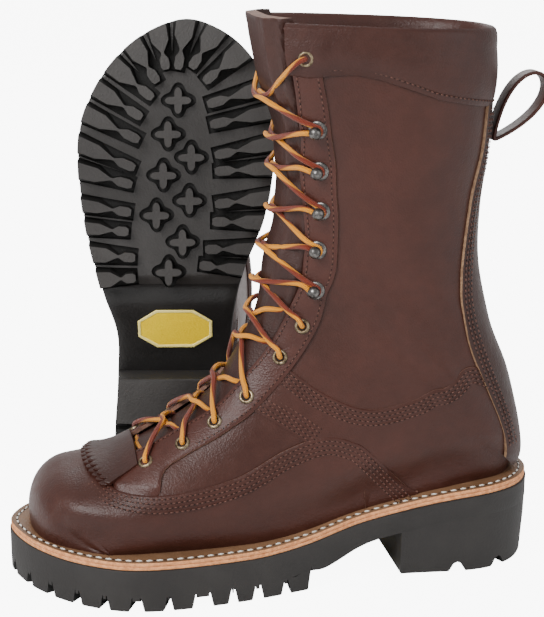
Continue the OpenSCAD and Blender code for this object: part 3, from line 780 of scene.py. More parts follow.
def panel(shell, net, low, top, round_at=1.1, sides=(True, True, True, True), wavy=1.0, skirt=False, swell=None):
    """A leather panel over a net of places: a rounded face, a flat back and cut edges between.
    sides says which edges show their cut: first row, last row, first column, last column.
    A skirt's last column stands on the welt; it turns in there, further the deeper the panel lies."""
    n, m = net.shape[:2]
    flat = surface(net[..., 0], net[..., 1])
    ups = outward(net[..., 0], net[..., 1])
    gap = np.full((n, m), 1e3)
    across = np.linalg.norm(np.diff(flat, axis=0), axis=-1)
    down = np.linalg.norm(np.diff(flat, axis=1), axis=-1)
    i_run = np.concatenate([np.zeros((1, m)), np.cumsum(across, axis=0)])
    j_run = np.concatenate([np.zeros((n, 1)), np.cumsum(down, axis=1)], axis=1)
    for shown, distance in zip(sides, (i_run, i_run[-1:] - i_run, j_run, j_run[:, -1:] - j_run)):
        if shown:
            gap = np.minimum(gap, distance)
    fall = np.clip(1 - gap / round_at, 0, 1)
    face = top - round_at * 0.55 * (1 - np.sqrt(np.maximum(0, 1 - fall ** 2))) + wavy * gently(flat)
    if swell is not None:
        face = face + swell(net)
    outer = flat + ups * face[..., None]
    inner = flat + ups * low
    if skirt:
        seat = welt_z(flat[..., 0]) + MIDSOLE + WELT
        near_foot = np.clip(1 - (flat[..., 2] - seat) / SKIRT_HIGH, 0, 1)
        for grid, inset in ((outer, 12.24 - 1.6 * top), (inner, 13.84 - 1.6 * top)):
            grid -= ups * (SKIRT_SINK * near_foot ** 2)[..., None]
            x, y = grid[..., 0], grid[..., 1]
            y_in, y_out = side_at(x, inset)
            hold = ease(near_foot * 1.25) * ease((x - 8) / 30) * ease((282 - x) / 12)
            over_in, over_out = (np.logaddexp(0, d / SKIRT_SOFT) for d in (y_in - y, y - y_out))
            shift = (over_in - over_out) * SKIRT_SOFT * hold
            padded = np.pad(shift, ((5, 5), (0, 0)), "edge")
            grid[..., 1] = y + sum(padded[k:k + n] for k in range(11)) / 11
        for grid, depth in ((outer, 0.3), (inner, 1.2)):
            foot = grid[:, -1:].copy()
            foot[..., 2] = np.minimum(foot[..., 2], welt_z(foot[..., 0]) + MIDSOLE + WELT) - 1.0
            foot -= ups[:, -1:] * np.array([depth, depth, 0])
            grid[:, -1:] += (foot - grid[:, -1:]) * (near_foot[:, -1:, None] > 0.6)
    shell.strip(outer, 0)
    shell.strip(inner[:, ::-1], 0)
    rim = [(outer[0], inner[0]), (inner[-1], outer[-1]), (inner[:, 0], outer[:, 0]), (outer[:, -1], inner[:, -1])]
    for a, b in rim:
        shell.strip(np.stack([a, b], axis=1), 1)
    return shell


def side_panels(name, build, finishes, nodes, **kw):
    """The same panel on the outer and the inner side."""
    for side, word in ((1, "outer"), (-1, "inner")):
        both_boots(f"{word}_{name}", build(side), finishes, [f"{word}_{n}" for n in nodes], "upper_leather", **kw)


def flipped(net, side):
    """A net on the outer side, or its mirror image on the inner side with its rows turned about."""
    if side > 0:
        return net
    net = net[:, ::-1].copy()
    net[..., 1] *= -1
    return net


# The vamp: one piece round the toe, from the welt up to its seam
rear_to_toe = [(s, float(foot_a(s))) for s in (10.5, 10.3, 10.1, 9.8, 9.4, 8.9, 8.3, 7.3, 6.0, 4.2, 2.0, 0.5)]
toe_line = [(0.0, a) for a in (78, 52, 26)]
foot_line = rear_to_toe + toe_line + [(0.0, 0)] + mirrored((rear_to_toe + toe_line)[::-1])
seam_half = VAMP_SEAM[::-1] + [(4.56, 19), (4.5, 12), (4.46, 6)]
seam_line = seam_half + [(4.45, 0)] + mirrored(seam_half[::-1])
vamp_net = net_between(seam_line, foot_line, 330, 56)
both_boots("vamp_leather", panel(Shell(), vamp_net, PANEL_LOW, VAMP_TOP, sides=(0, 0, 1, 0), skirt=True, wavy=0.5),
           [brown_leather, cut_edge], ["vamp"], "upper_leather")

# The stiffener between the vamp's layers, round the toe
cap_foot = [(4.2, float(foot_a(4.2))), (2.0, float(foot_a(2.0))), (0.5, float(foot_a(0.5)))] + toe_line + [(0.0, 0)]
cap_top = [(4.0, 72), (3.8, 58), (3.6, 42), (3.5, 30), (3.45, 20), (3.4, 10), (3.4, 0)]
cap_net = net_between(cap_top + mirrored(cap_top[:-1][::-1]), cap_foot + mirrored(cap_foot[:-1][::-1]), 200, 40)
both_boots("toe_stiffener", panel(Shell(), cap_net, -3.2, -1.6, sides=(0, 0, 1, 0), skirt=True, wavy=0.4),
           [toe_plate, toe_plate], ["toe_box"], "toe_stiffener")

# The panel between the vamp and the eyestay, under both and under the quarter's slanted edge
side_low = [(5.2, 44), (6.1, 64), (7.0, 69), (7.9, 72), (8.7, 76), (9.3, 80), (9.8, 84)]
side_high = [(5.0, 22), (6.0, 30), (6.7, 32), (7.3, 33), (7.9, 35), (8.4, 38), (8.95, 45)]
side_net = net_between(side_high, side_low, 90, 40)
side_panels("vamp_side_leather", lambda side: panel(Shell(), flipped(side_net, side), PANEL_LOW, PANEL_TOP,
                                                    sides=(0, 0, 0, 0)), [brown_leather, cut_edge], ["vamp_side"])

# The shaft: from the eyestay round to the back, over the whole height above the quarter
shaft_s = np.concatenate([np.linspace(9.4, 14.9, 62), np.linspace(15, TOP_S - 0.05, 66)])
seam_s, seam_a = np.array(COUNTER_SEAM).T
shaft_back = np.minimum(np.interp(shaft_s, seam_s, seam_a + 24), 180.5)
front_s, front_a = np.array(FACING_EDGE).T
shaft_front = np.interp(shaft_s, front_s, front_a) + 2
shaft_net = np.empty((len(shaft_s), 70, 2))
shaft_net[..., 0] = shaft_s[:, None]
shaft_net[..., 1] = shaft_front[:, None] + (shaft_back - shaft_front)[:, None] * np.linspace(0, 1, 70)[None]


def creases(net):
    """Soft folds round the ankle, where the boot bends."""
    s, a = net[..., 0], np.abs(net[..., 1])
    here = np.exp(-((s - 13.2) / 1.8) ** 2) * np.exp(-((a - 105) / 38) ** 2)
    return here * (0.9 * np.sin(s * 3.1 + a / 26) + 0.4 * np.sin(s * 6.3 - a / 13))


side_panels("shaft_leather", lambda side: panel(Shell(), flipped(shaft_net, side), PANEL_LOW, PANEL_TOP,
                                                sides=(0, 0, 0, 0), swell=creases),
            [brown_leather, cut_edge], ["shaft"])

# The quarter: round the heel, over the shaft, its slanted front edge over the vamp side
quarter_low = QUARTER_FRONT + [(9.7, 94)]
quarter_low += [(s, float(foot_a(s))) for s in (10.0, 10.5, 11.1, 11.7, 12.2, 12.65)] + [(13.0, 180)]
quarter_net = net_between(COUNTER_SEAM, quarter_low, 150, 56)


side_panels("quarter_leather", lambda side: panel(Shell(), flipped(quarter_net, side), PANEL_LOW, QUARTER_TOP,
                                                  sides=(0, 0, 1, 0), skirt=True,
                                                  swell=lambda net: creases(net) * 0.6),
            [brown_leather, cut_edge], ["quarter"])

# The stiffener inside the heel, from one side round the back to the other
cup_foot = [(s, float(foot_a(s))) for s in (11.0, 11.7, 12.2, 12.5, 12.8)] + [(13.0, 180)]
cup_top = [(11.6, 100), (12.3, 102), (13.0, 112), (13.6, 128), (14.1, 152), (14.3, 180)]
cup_net = net_between(*[path + [(s, 360 - a) for s, a in path[-2::-1]] for path in (cup_top, cup_foot)], 160, 40)
both_boots("heel_stiffener", panel(Shell(), cup_net, -3.6, -2.4, 0.5, sides=(1, 1, 1, 0), skirt=True, wavy=0.5),
           [fibre_board, fibre_board], ["heel_counter"], "counter_board")

# The eyestay: a facing along the lacing, its rounded tab tucked under the vamp's edge
TAB = [(4.86, 36), (4.90, 27), (5.02, 20)]
stay_front = row_of(TAB + FACING_EDGE[1:], 70)
stay_back = row_of([(4.88, 38), (5.0, 50), (5.45, 59), (6.0, 63), (6.14, 56), (6.22, 50), (6.34, 45.5), (6.62, 43),
                    *EYESTAY_BACK[4:]], 70)
stay_net = net_between(stay_front, stay_back, 300, 15)


def under_vamp(net):
    """The tab lies flat where the vamp covers it."""
    seam = np.interp(net[..., 0], *np.array(VAMP_SEAM[:8]).T)
    return -1.4 * ease((np.abs(net[..., 1]) - seam + 5) / 5)


side_panels("eyestay_leather", lambda side: panel(Shell(), flipped(stay_net, side), 0.2, EYESTAY_TOP - 0.4, 0.9,
                                                  sides=(1, 0, 1, 1), swell=under_vamp, wavy=0.6),
            [eyestay_leather, cut_edge], ["eyestay"])

# The backstay: a strip up the heel, narrowing to the top, with pale cut edges
stay_s = np.linspace(12.72, 19.95, 130)
half_a = np.interp(stay_s, [12.7, 13.1, 13.56, 14.0, 14.4, 14.75, 15.2, 15.87, 16.5, 17.07, 18.09, 19, 20],
                   [35, 43, 49, 56, 62.5, 66, 64.5, 58.5, 51, 44, 35, 29, 26])
half_a = np.convolve(np.pad(half_a, 4, "edge"), np.ones(9) / 9, "valid")
stay_strip = np.empty((130, 34, 2))
stay_strip[..., 0] = stay_s[:, None]
stay_strip[..., 1] = 180 + half_a[:, None] * np.linspace(-1, 1, 34)[None]
both_boots("backstay_leather", panel(Shell(), stay_strip, 0.4, 2.8, 0.7, sides=(0, 0, 1, 1)),
           [dark_leather, pale_edge], ["backstay"], "trim_leather")

# The tongue: one sheet from under the vamp to the top, standing forward above the ankle
tongue_side = [(4.9, 20), (7, 27), (9, 32), (11, 36), (13, 37), (16, 38), (19, 42), (20.2, 42), (21.25, 36)]
tongue_net = net_between(mirrored(tongue_side), tongue_side, 230, 44)


def tongue_face(s, a):
    """Depth of the tongue's front face."""
    inside = 1 - np.clip(np.abs(a) / 34, 0, 1) ** 3
    bow = 0.5 + 2.6 * ease((s - 13) / 6) + 5.2 * np.exp(-((s - 11.2) / 1.9) ** 2)
    fold = 0.9 * np.sin((np.abs(a) - 10) * 0.42) * ease((np.abs(a) - 10) / 5) * ease((s - 9) / 2)
    return -1.7 + inside * bow + fold - 1.6 * ease((np.abs(a) - 26) / 10)


def tongue_swell(net):
    s, a = net[..., 0], net[..., 1]
    return tongue_face(s, a) + 0.5 * np.sin(s * 2.9) * np.exp(-((s - 12.5) / 3) ** 2)


tongue_shell = panel(Shell(), tongue_net, -4.6, 0, 0.8, sides=(0, 1, 1, 1), swell=tongue_swell)
for boot in PLACES:
    mesh = tongue_shell.mesh(f"{boot}_tongue_leather", boot)
    merged(mesh)
    tongue = finished(f"{boot}_tongue_leather", mesh, [dark_leather, cut_edge], None,
                      [f"{boot}_tongue", f"{boot}_tongue_top"])
    fold_start, fold_end = placed([[158, 0, 291], [159, 0, 302]], boot)
    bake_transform(tongue)

# The kiltie: a short flap over the throat with a pinked front edge, in two layers
for layer, (reach, low, top) in enumerate(((0.24, 4.4, 5.5), (0.40, 2.9, 4.0))):
    across = 240
    flap = net_between([(5.7, -33), (5.72, -12), (5.72, 0), (5.72, 12), (5.7, 33)],
                       [(4.90 - reach, -40), (4.56 - reach, -20), (4.46 - reach, 0), (4.56 - reach, 20),
                        (4.90 - reach, 40)], across, 26)
    tooth = 1 - np.abs(np.sin(np.arange(across) * math.pi * 15 / across + 0.5 * layer)) ** 0.7
    flap[:, -10:, 0] += (0.24 * tooth)[:, None] * np.linspace(0.1, 1, 10)[None]
    both_boots(["kiltie_flap", "kiltie_lining"][layer],
               panel(Shell(), flap, low - 1.4, top - 1.4, 0.5, sides=(0, 0, 0, 1), wavy=0.8,
                     swell=lambda net: 2.8 * ease((5.5 - net[..., 0]) / 1.5)),
               [dark_leather, brown_leather], ["kiltie"], "trim_leather")

# The lining inside the shaft
lining_net = net_between([(13.3, a) for a in (33, 90, 150, 210, 270, 327)],
                         [(20.6, a) for a in (37, 90, 150, 210, 270, 323)], 120, 60)
both_boots("lining_leather", panel(Shell(), lining_net, -3.9, -2.6, 0.6, sides=(0, 0, 0, 0)),
           [lining_leather, cut_edge], ["lining"], "lining_leather")

# The collar: a soft band over the top edge, with its scalloped lower seam
COLLAR_SEAM = [(0, 19.42), (31, 19.42), (46, 19.50), (57, 19.74), (70, 19.93), (81, 19.94), (96, 19.86), (112, 19.78),
               (147, 19.82), (180, 19.84)]
collar_a = row_of([(20.5, a) for a in (33, 60, 90, 135, 180, 225, 270, 300, 327)], 280)[:, 1]
collar_low = np.interp(np.minimum(collar_a, 360 - collar_a), *np.array(COLLAR_SEAM).T)
over_stay = ease((60 - np.minimum(collar_a, 360 - collar_a)) / 8)
TOP_ROLL = [(20.9, 2.9), (21.04, 2.5), (21.12, 1.5), (21.15, 0.2), (21.12, -1.2), (21.0, -2.6), (20.8, -3.3),
            (20.4, -3.7), (20.1, -3.8), (19.95, -3.6), (19.9, -3.0), (19.92, -1.0), (19.9, 0.5)]
band = []
for a, low_s, over in zip(collar_a, collar_low, over_stay):
    lift_here = 1.0 * over
    face = [(low_s, 0.5 + lift_here), (low_s, 1.7 + lift_here), (low_s + 0.03, 2.15 + lift_here),
            (low_s + 0.09, 2.4 + lift_here)]
    for v in np.linspace(0.15, 0.92, 9):
        s = low_s + (20.9 - low_s) * v
        face.append((s, 2.5 + lift_here * (1 - v * 0.4) + 1.6 * math.sin(math.pi * v) + 0.15 * math.sin(a / 9)))
    face += [(s, d + 0.6 * lift_here if d > 2 else d) for s, d in TOP_ROLL]
    band.append([(s, a, d) for s, d in face])
band = np.array(band)
collar = Shell()
collar_grid = lifted(band[..., 0], band[..., 1], band[..., 2])
collar_grid = np.concatenate([collar_grid, collar_grid[:, :1]], axis=1)
collar.strip(collar_grid)
ring = collar_grid.shape[1]
for end in (0, len(band) - 1):
    collar.add(collar_grid[end, :-1], [list(range(ring - 1))])
for piece in both_boots("collar_band", collar, [collar_leather], ["collar"], "trim_leather"):
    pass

# ---- the sole -----------------------------------------------------------------------------

def spring(x):
    """How far the tread's face has risen toward the toe."""
    return TOE_SPRING * (np.maximum(0, x - 235) / 73) ** 2


def under(x):
    """Underside of the rubber between the lugs, and of the shank."""
    x = np.asarray(x, float)
    shank = np.interp(x, [0, 96, 104, 112, 132, 141, 146], [0, 0, 0.04, 0.15, 0.62, 0.85, 1.0])
    return (welt_z(x) - 13) * (1 - shank) + (TREAD + spring(x)) * shank + 3.0 * np.exp(-((x - 139) / 6) ** 2)


def plank(shell, x0, x1, low, high, inset=0.0, round_by=0.8, finish_low=0, finish_side=0, cells=14, count=220):
    """A layer of the sole from x0 to x1 between two heights, with rounded edges."""
    left, right = (x0 + inset, x1 - inset) if x1 >= TOE_X - 0.1 else (x0 + inset, x1)
    t = np.linspace(0, 1, count)
    xs = left + (right - left) * ((1 - np.cos(math.pi * t)) / 2 if x1 >= TOE_X - 0.1 else 1 - np.cos(math.pi / 2 * t))
    y_in, y_out = side_at(xs, inset)
    y_out = np.maximum(y_out, y_in + 0.02)
    r = np.minimum(round_by, (y_out - y_in) * 0.3)
    zl, zh = low(xs), high(xs)
    mid = np.linspace(0, 1, cells)
    cols = [(y_in + r + (y_out - y_in - 2 * r) * u, zl) for u in mid]
    cols += [(y_out - r * 0.3, zl + r * 0.3), (y_out, zl + r), (y_out, zh - r), (y_out - r * 0.3, zh - r * 0.3)]
    cols += [(y_out - r - (y_out - y_in - 2 * r) * u, zh) for u in mid]
    cols += [(y_in + r * 0.3, zh - r * 0.3), (y_in, zh - r), (y_in, zl + r), (y_in + r * 0.3, zl + r * 0.3)]
    grid = np.stack([np.stack([xs, y, z], axis=1) for y, z in cols], axis=1)
    grid = np.concatenate([grid, grid[:, :1]], axis=1)
    shell.strip(grid[:, :cells], finish_low)
    shell.strip(grid[:, cells - 1:], finish_side)
    for end in (0, -1):
        shell.add(grid[end, :-1], [list(range(grid.shape[1] - 1))], finish_side)
    return shell


# Lugs of the tread, as (outer end, middle of the inner tip): four pairs on each side, six round the toe
OUTER_LUGS = [(145, 46.5, 146, 28), (161, 50, 159, 28), (177, 54, 175, 31.8), (191, 56, 187, 30), (212, 57, 204.3, 29),
              (228, 57, 215, 27), (247, 54, 232, 24), (262, 47, 246, 22)]
INNER_LUGS = [(151, -43.5, 153.5, -21), (164, -49, 163.7, -24.5), (180, -55, 180.5, -29), (195, -58.5, 191.7, -30.7),
              (213, -61, 211.3, -30.7), (228, -61, 221.7, -30.7), (247, -60.5, 240, -28), (262, -58, 252.5, -26.3)]
TOE_LUGS = [(276.8, 38, 258, 15), (290.9, 25.5, 268.4, 11), (302, 9.4, 276.8, 4), (307.7, -10.2, 276.8, -4.9),
            (299.3, -29.9, 276.8, -14.7), (284.3, -44.2, 267.5, -23.6)]
CROSSES = [(253.5, -4), (233.3, 2.3), (219.3, -11.6), (208.5, 5.4), (193.1, -10.2), (184.3, 9.9), (167.9, -5.8),
           (149.5, 2.8)]


def edge_hit(start, ahead):
    """Where a ray from inside the sole meets its outline."""
    a, b = EDGE, np.roll(EDGE, -1, 0)
    d = b - a
    cross = ahead[0] * d[:, 1] - ahead[1] * d[:, 0]
    away = a - start
    t = (away[:, 0] * d[:, 1] - away[:, 1] * d[:, 0]) / cross
    k = (away[:, 0] * ahead[1] - away[:, 1] * ahead[0]) / cross
    hit = t[(t > 0) & (k >= 0) & (k <= 1)].min()
    return start + ahead * hit


def lug_frame(lug):
    """Outer end on the outline, unit direction inwards and length to the tip's far end."""
    outer, tip = np.array(lug[:2], float), np.array(lug[2:], float)
    ahead = (outer - tip) / np.linalg.norm(outer - tip)
    outer = edge_hit(tip, ahead)
    return outer, -ahead, np.linalg.norm(outer - tip) + 5.0


def spacing(lugs):
    """Half widths at the outline and at the tips, from the distance to the nearest neighbour."""
    outer = np.array([lug_frame(lug)[0] for lug in lugs])
    tips = np.array([lug[2:] for lug in lugs], float)
    halves = []
    for ends in (outer, tips):
        apart = np.linalg.norm(ends[:, None] - ends[None], axis=2) + np.eye(len(ends)) * 99
        halves.append(apart.min(1) / 2)
    return np.stack(halves, axis=1)


def draft(shell, polygon, levels, finish=0, cap=0, inside=None, outer_points=1):
    """A solid from polygons at several levels: (inset points, z function) from root to face."""
    inside = finish if inside is None else inside
    rings = []
    for points, height in levels:
        rings.append(np.column_stack([points, height(points[:, 0])]))
    grid = np.stack(rings, axis=1)
    n = len(polygon)
    shell.strip(grid[:outer_points], finish)
    shell.strip(np.concatenate([grid[outer_points - 1:], grid[:1]]), inside)
    shell.add(grid[:, 0], [list(range(n))], finish)
    shell.add(grid[:, -1], [list(range(n))[::-1]], cap)


def lug_polygon(lug, half, tip_half, outer_gap, tip_gap, reach=0.0):
    """Outline of a lug: a wedge at the edge, a narrow waist and a six-sided tip."""
    outer, inward, length = lug_frame(lug)
    aside = np.array([-inward[1], inward[0]])
    wide = half - outer_gap
    tip = min(3.3, tip_half - 1.3) - tip_gap
    stations = [(0.34, wide * 0.92), (0.60, 1.3 - tip_gap), (0.64, 1.3 - tip_gap), (0.76, tip), (0.93, tip),
                (1.0, tip * 0.62)]
    deep = outer + inward * length * 0.30
    arc = []
    for v in np.linspace(-1, 1, 7):
        hit = edge_hit(deep + aside * wide * v, -inward)
        arc.append(hit + inward * reach)
    right_side = [outer + inward * length * d + aside * w for d, w in stations]
    left_side = [outer + inward * length * d - aside * w for d, w in stations[::-1]]
    return np.array(arc + right_side + left_side)


def cell_polygon(lug, half, tip_half):
    """The pocket round a lug: a strip from beyond the edge to just past the tip."""
    outer, inward, length = lug_frame(lug)
    aside = np.array([-inward[1], inward[0]])
    wide, narrow = half - 0.45, min(5.4, tip_half - 0.35)
    corners = [(-0.16, wide), (0.3, wide * 0.55 + narrow * 0.45), (1.05, narrow), (1.05, -narrow),
               (0.3, -(wide * 0.55 + narrow * 0.45)), (-0.16, -wide)]
    return np.array([outer + inward * length * d + aside * w for d, w in corners])


def cross_polygon(x, y, grow=0.0, points=48):
    """A four-lobed lug turned so that its lobes point along and across the sole."""
    t = np.arange(points) * 2 * math.pi / points
    r = 6.1 + 2.2 * np.cos(4 * t) + grow * (1 - 0.15 * np.cos(4 * t))
    return np.stack([x + r * np.cos(t), y + r * np.sin(t)], axis=1)


def floor_z(x):
    return under(x)


def face_z(x):
    return spring(x)


slab = Shell()
plank(slab, 0, TOE_X, under, lambda x: welt_z(x) - 0.05, round_by=1.0, finish_low=1, finish_side=0)
pockets, lugs = Shell(), Shell()
for group in (OUTER_LUGS, INNER_LUGS, TOE_LUGS):
    for lug, (half, tip_half) in zip(group, spacing(group)):
        half = min(half, 9.6)
        cell = cell_polygon(lug, half, tip_half)
        draft(pockets, cell, [(cell, lambda x: floor_z(x) + 2.4), (cell, lambda x: floor_z(x) - 7)])
        root = lug_polygon(lug, half, tip_half, 1.1, 0.0)
        near = lug_polygon(lug, half, tip_half, 2.9, 0.2, 0.1)
        face = lug_polygon(lug, half, tip_half, 3.4, 0.45, 0.5)
        # The lug's sides take finish 2, the near-black rubber: painted shade; its face takes finish 1.
        draft(lugs, root, [(root, lambda x: floor_z(x) + 3.2), (near, lambda x: face_z(x) + 0.7),
                           (face, face_z)], 0, 1, 2, 7)
for x, y in CROSSES:
    cell = cross_polygon(x, y, 2.9)
    draft(pockets, cell, [(cell, lambda x: floor_z(x) + 2.0), (cell, lambda x: floor_z(x) - 7)])
    root, near, face = cross_polygon(x, y, 0.2), cross_polygon(x, y, -0.1), cross_polygon(x, y, -0.5)
    # The cross lug's sides take finish 2, the near-black rubber: painted shade.
    draft(lugs, root, [(root, lambda x: floor_z(x) + 3), (near, lambda x: face_z(x) + 0.6), (face, face_z)], 2, 1)

# The badge's seat in the shank
BADGE_X, BADGE_W, BADGE_H = 112, 45, 24


def badge_polygon(grow):
    w, h = BADGE_W / 2 + grow, BADGE_H / 2 + grow
    corner_y, corner_x = w * 0.5, h * 0.42
    return np.array([(BADGE_X + u, v) for u, v in ((-h, -corner_y), (-h, corner_y), (-corner_x, w), (corner_x, w),
                                                    (h, corner_y), (h, -corner_y), (corner_x, -w), (-corner_x, -w))])


seat = badge_polygon(1.0)
draft(pockets, seat, [(seat, lambda x: under(x) + 1.2), (seat, lambda x: under(x) - 5)])


def cut_with(mesh, cutter, name):
    """The mesh less the cutter."""
    solid, tool = (bpy.data.objects.new(name + tag, m) for tag, m in (("_solid", mesh), ("_tool", cutter)))
    for part in (solid, tool):
        bpy.context.scene.collection.objects.link(part)
    cut = solid.modifiers.new("cut", "BOOLEAN")
    cut.operation, cut.solver, cut.use_self, cut.object = "DIFFERENCE", "EXACT", True, tool
    bpy.context.view_layer.update()
    out = bpy.data.meshes.new_from_object(solid.evaluated_get(bpy.context.evaluated_depsgraph_get()))
    for part in (solid, tool):
        bpy.data.objects.remove(part)
    return out


def gathered(mesh):
    """A plain mesh of the standing boot as a Shell in the boot's frame."""
    turn, shift = PLACES["left"]
    points = np.empty(len(mesh.vertices) * 3)
    mesh.vertices.foreach_get("co", points)
    shell = Shell()
    shell.add((points.reshape(-1, 3) * 1000 - shift) @ turn, [])
    shell.faces = [list(p.vertices) for p in mesh.polygons]
    shell.finishes = [p.material_index for p in mesh.polygons]
    return shell


def cut_shell(shell, cutters, finish, name):
    """A shell less some cutters, whose walls take the given finish."""
    solid, tool = shell.mesh(name, "left"), cutters.mesh(name + "_cutters", "left")
    merged(solid)
    merged(tool)
    stock = [bpy.data.materials.new(f"{name}_stock_{i}") for i in range(finish + 1)]
    for mesh in (solid, tool):
        for material in stock:
            mesh.materials.append(material)
    tool.polygons.foreach_set("material_index", [finish] * len(tool.polygons))
    out = gathered(cut_with(solid, tool, name))
    for material in stock:
        bpy.data.materials.remove(material)
    return out


# The walls cut by the pockets take finish 2, the near-black rubber: painted shade in the recesses.
sole = cut_shell(slab, pockets, 2, "sole")
for points, count in ((np.concatenate(lugs.points), lugs.count),):
    base = sole.count
    sole.points.append(points)
    sole.uv.append(np.zeros((count, 2)))
    sole.faces += [[i + base for i in face] for face in lugs.faces]
    sole.finishes += [3 if f == 1 else f for f in lugs.finishes]
    sole.count += count
where = np.concatenate(sole.points)
# Underside faces behind x = 141 take the darker shank rubber: painted shade under the arch.
sole.finishes = [4 if f == 1 and where[face, 0].mean() < 141 else f for face, f in zip(sole.faces, sole.finishes)]
both_boots("lugged_sole", sole, [sole_rubber, floor_rubber, pocket_rubber_painted_shade, lug_rubber, shank_rubber_painted_shade], ["outsole"],
           "sole_rubber", crease=30)

badge = Shell()
steps = [(0.6, 1.15), (0.6, -0.5), (0.2, -0.85), (-0.9, -0.85), (-1.3, -0.45)]
draft(badge, badge_polygon(0), [(badge_polygon(g), lambda x, d=d: under(x) + d) for g, d in steps], 1, 0)
both_boots("badge_plate", badge, [badge_yellow, badge_rim], ["sole_badge"], "badge_yellow", crease=30)

# The heel: a block that narrows downwards, with its own lugged lift
back_half = [i for i in range(len(EDGE)) if EDGE[i, 0] < HEEL_LEN]
first = next(i for i in back_half if EDGE[i, 1] < 0 and EDGE[i - 1, 0] >= HEEL_LEN)
order = [(first + k) % len(EDGE) for k in range(len(back_half))]


def heel_ring(inset, front=0.0):
    ring = EDGE[order] + INWARD[order] * inset
    ends = side_at(np.array([HEEL_LEN - 0.01]), inset)
    return np.concatenate([[(HEEL_LEN - front, ends[0][0])], ring, [(HEEL_LEN - front, ends[1][0])]])


def heel_layer(shell, levels):
    """Heel block through (inset, front, height) levels; a height may follow the shank."""
    rings = []
    for inset, front, height in levels:
        ring = heel_ring(inset, front)
        rings.append(np.column_stack([ring, welt_z(ring[:, 0]) - 0.4 if height is None
                                      else np.full(len(ring), float(height))]))
    draft(shell, rings[0][:, :2], [(r[:, :2], lambda x, z=r[:, 2]: z) for r in rings], 0, 1)
    return shell


base_block = heel_layer(Shell(), [(-0.12, 0, None), (0.5, 0.1, 24), (1.6, 0.3, LIFT_THICK - 0.1)])
both_boots("heel_block", base_block, [sole_rubber, sole_rubber], ["heel_base"], "sole_rubber", crease=30)
lift_block = heel_layer(Shell(), [(1.62, 0.3, LIFT_THICK), (2.0, 0.35, 1.3), (2.4, 0.7, 0.35), (3.1, 1.3, 0.0)])
notches = Shell()


def notch(x, y, angle, length, wide, deep=6.2):
    """A groove with sloping walls, from (x, y) along an angle."""
    ahead = np.array([math.cos(math.radians(angle)), math.sin(math.radians(angle))])
    aside = np.array([-ahead[1], ahead[0]])
    profile = [(-wide / 2 - 1, -1), (-wide / 4.5, deep - 0.9), (0, deep), (wide / 4.5, deep - 0.9), (wide / 2 + 1, -1)]
    grid = np.array([[[*(np.array([x, y]) + ahead * d + aside * w), z] for w, z in profile + profile[:1]]
                     for d in (0, length)])
    notches.strip(grid, 0)
    for end in (0, 1):
        notches.add(grid[end, :-1], [list(range(5))], 0)


for x, angle in ((57, 4), (23, 30)):
    notch(x - 6, -48, 90 - angle + 6, 27, 9.5)
    notch(x - 6, 50, -90 + angle - 6, 27, 9.5)
notch(-6, 0, 0, 24, 8)
notch(30, 0, 0, 30, 5)
notch(45, -17, 90, 34, 5)
# The notch walls take finish 2, the near-black rubber: painted shade in the grooves.
heel_lift = cut_shell(lift_block, notches, 2, "heel")
both_boots("heel_lift_block", heel_lift, [sole_rubber, lug_rubber, pocket_rubber_painted_shade], ["heel_lift"], "sole_rubber",
           crease=30)

# The midsole and the welt
midsole = plank(Shell(), 0, TOE_X, welt_z, lambda x: welt_z(x) + MIDSOLE, 0.7, 0.55)
both_boots("midsole_edge", midsole, [welt_side], ["midsole"], "welt_leather", crease=60)
welt = Shell()
welt_loop = [(1.6, 0.0), (1.0, 0.1), (0.65, 0.55), (0.65, 1.7), (1.0, 2.2), (1.7, 2.3), (3.2, 2.25), (4.2, 2.05),
             (5.2, 2.25), (10, 2.3), (16, 2.3), (16, 0.0)]
turned_loop = welt_loop + welt_loop[:1]
rings = []
for inset, rise in turned_loop:
    line = EDGE + INWARD * inset
    rings.append(np.column_stack([line, welt_z(np.clip(line[:, 0], 0, TOE_X)) + MIDSOLE + rise]))
welt_grid = np.stack(rings, axis=1)
welt.strip(welt_grid[:, :5], 1, around=True)
welt.strip(welt_grid[:, 4:], 0, around=True)
both_boots("stitched_welt", welt, [welt_top, welt_side], ["welt"], "welt_leather", crease=60)
stitch_line = EDGE + INWARD * 4.2
stitch_line = np.concatenate([stitch_line, stitch_line[:1]])
welt_row = np.column_stack([stitch_line, welt_z(stitch_line[:, 0]) + MIDSOLE + WELT - 0.05])
sew("welt_stitching", [(welt_row, np.tile([0.0, 0, 1], (len(welt_row), 1)))], 5.6, (4.1, 1.25, 1.2),
    (1.6, 1.3, 0.5), white_thread)

# ---- the pull loop ------------------------------------------------------------------------

LOOP_ROOT = np.array([26.5, 0, 245])
LOOP_LEN, LOOP_W, STRAP = 43, 12, 2.2


def strap_line(direction, bulge):
    """Middle of the strap: out along the loop and back."""
    t = np.linspace(0, 180, 60)
    c, s = np.cos(np.radians(t)), np.sin(np.radians(t))
    u = (LOOP_LEN + STRAP / 2) * (1 - c) / 2
    v = (bulge + STRAP / 2) * 1.18 * s * np.sqrt((1.12 - c) / 2)
    u, v = np.concatenate([u, u[-2:0:-1]]), np.concatenate([v, -v[-2:0:-1]])
    d = math.radians(direction)
    return LOOP_ROOT + u[:, None] * np.array([math.cos(d), 0, -math.sin(d)]) + \
        v[:, None] * np.array([math.sin(d), 0, math.cos(d)])


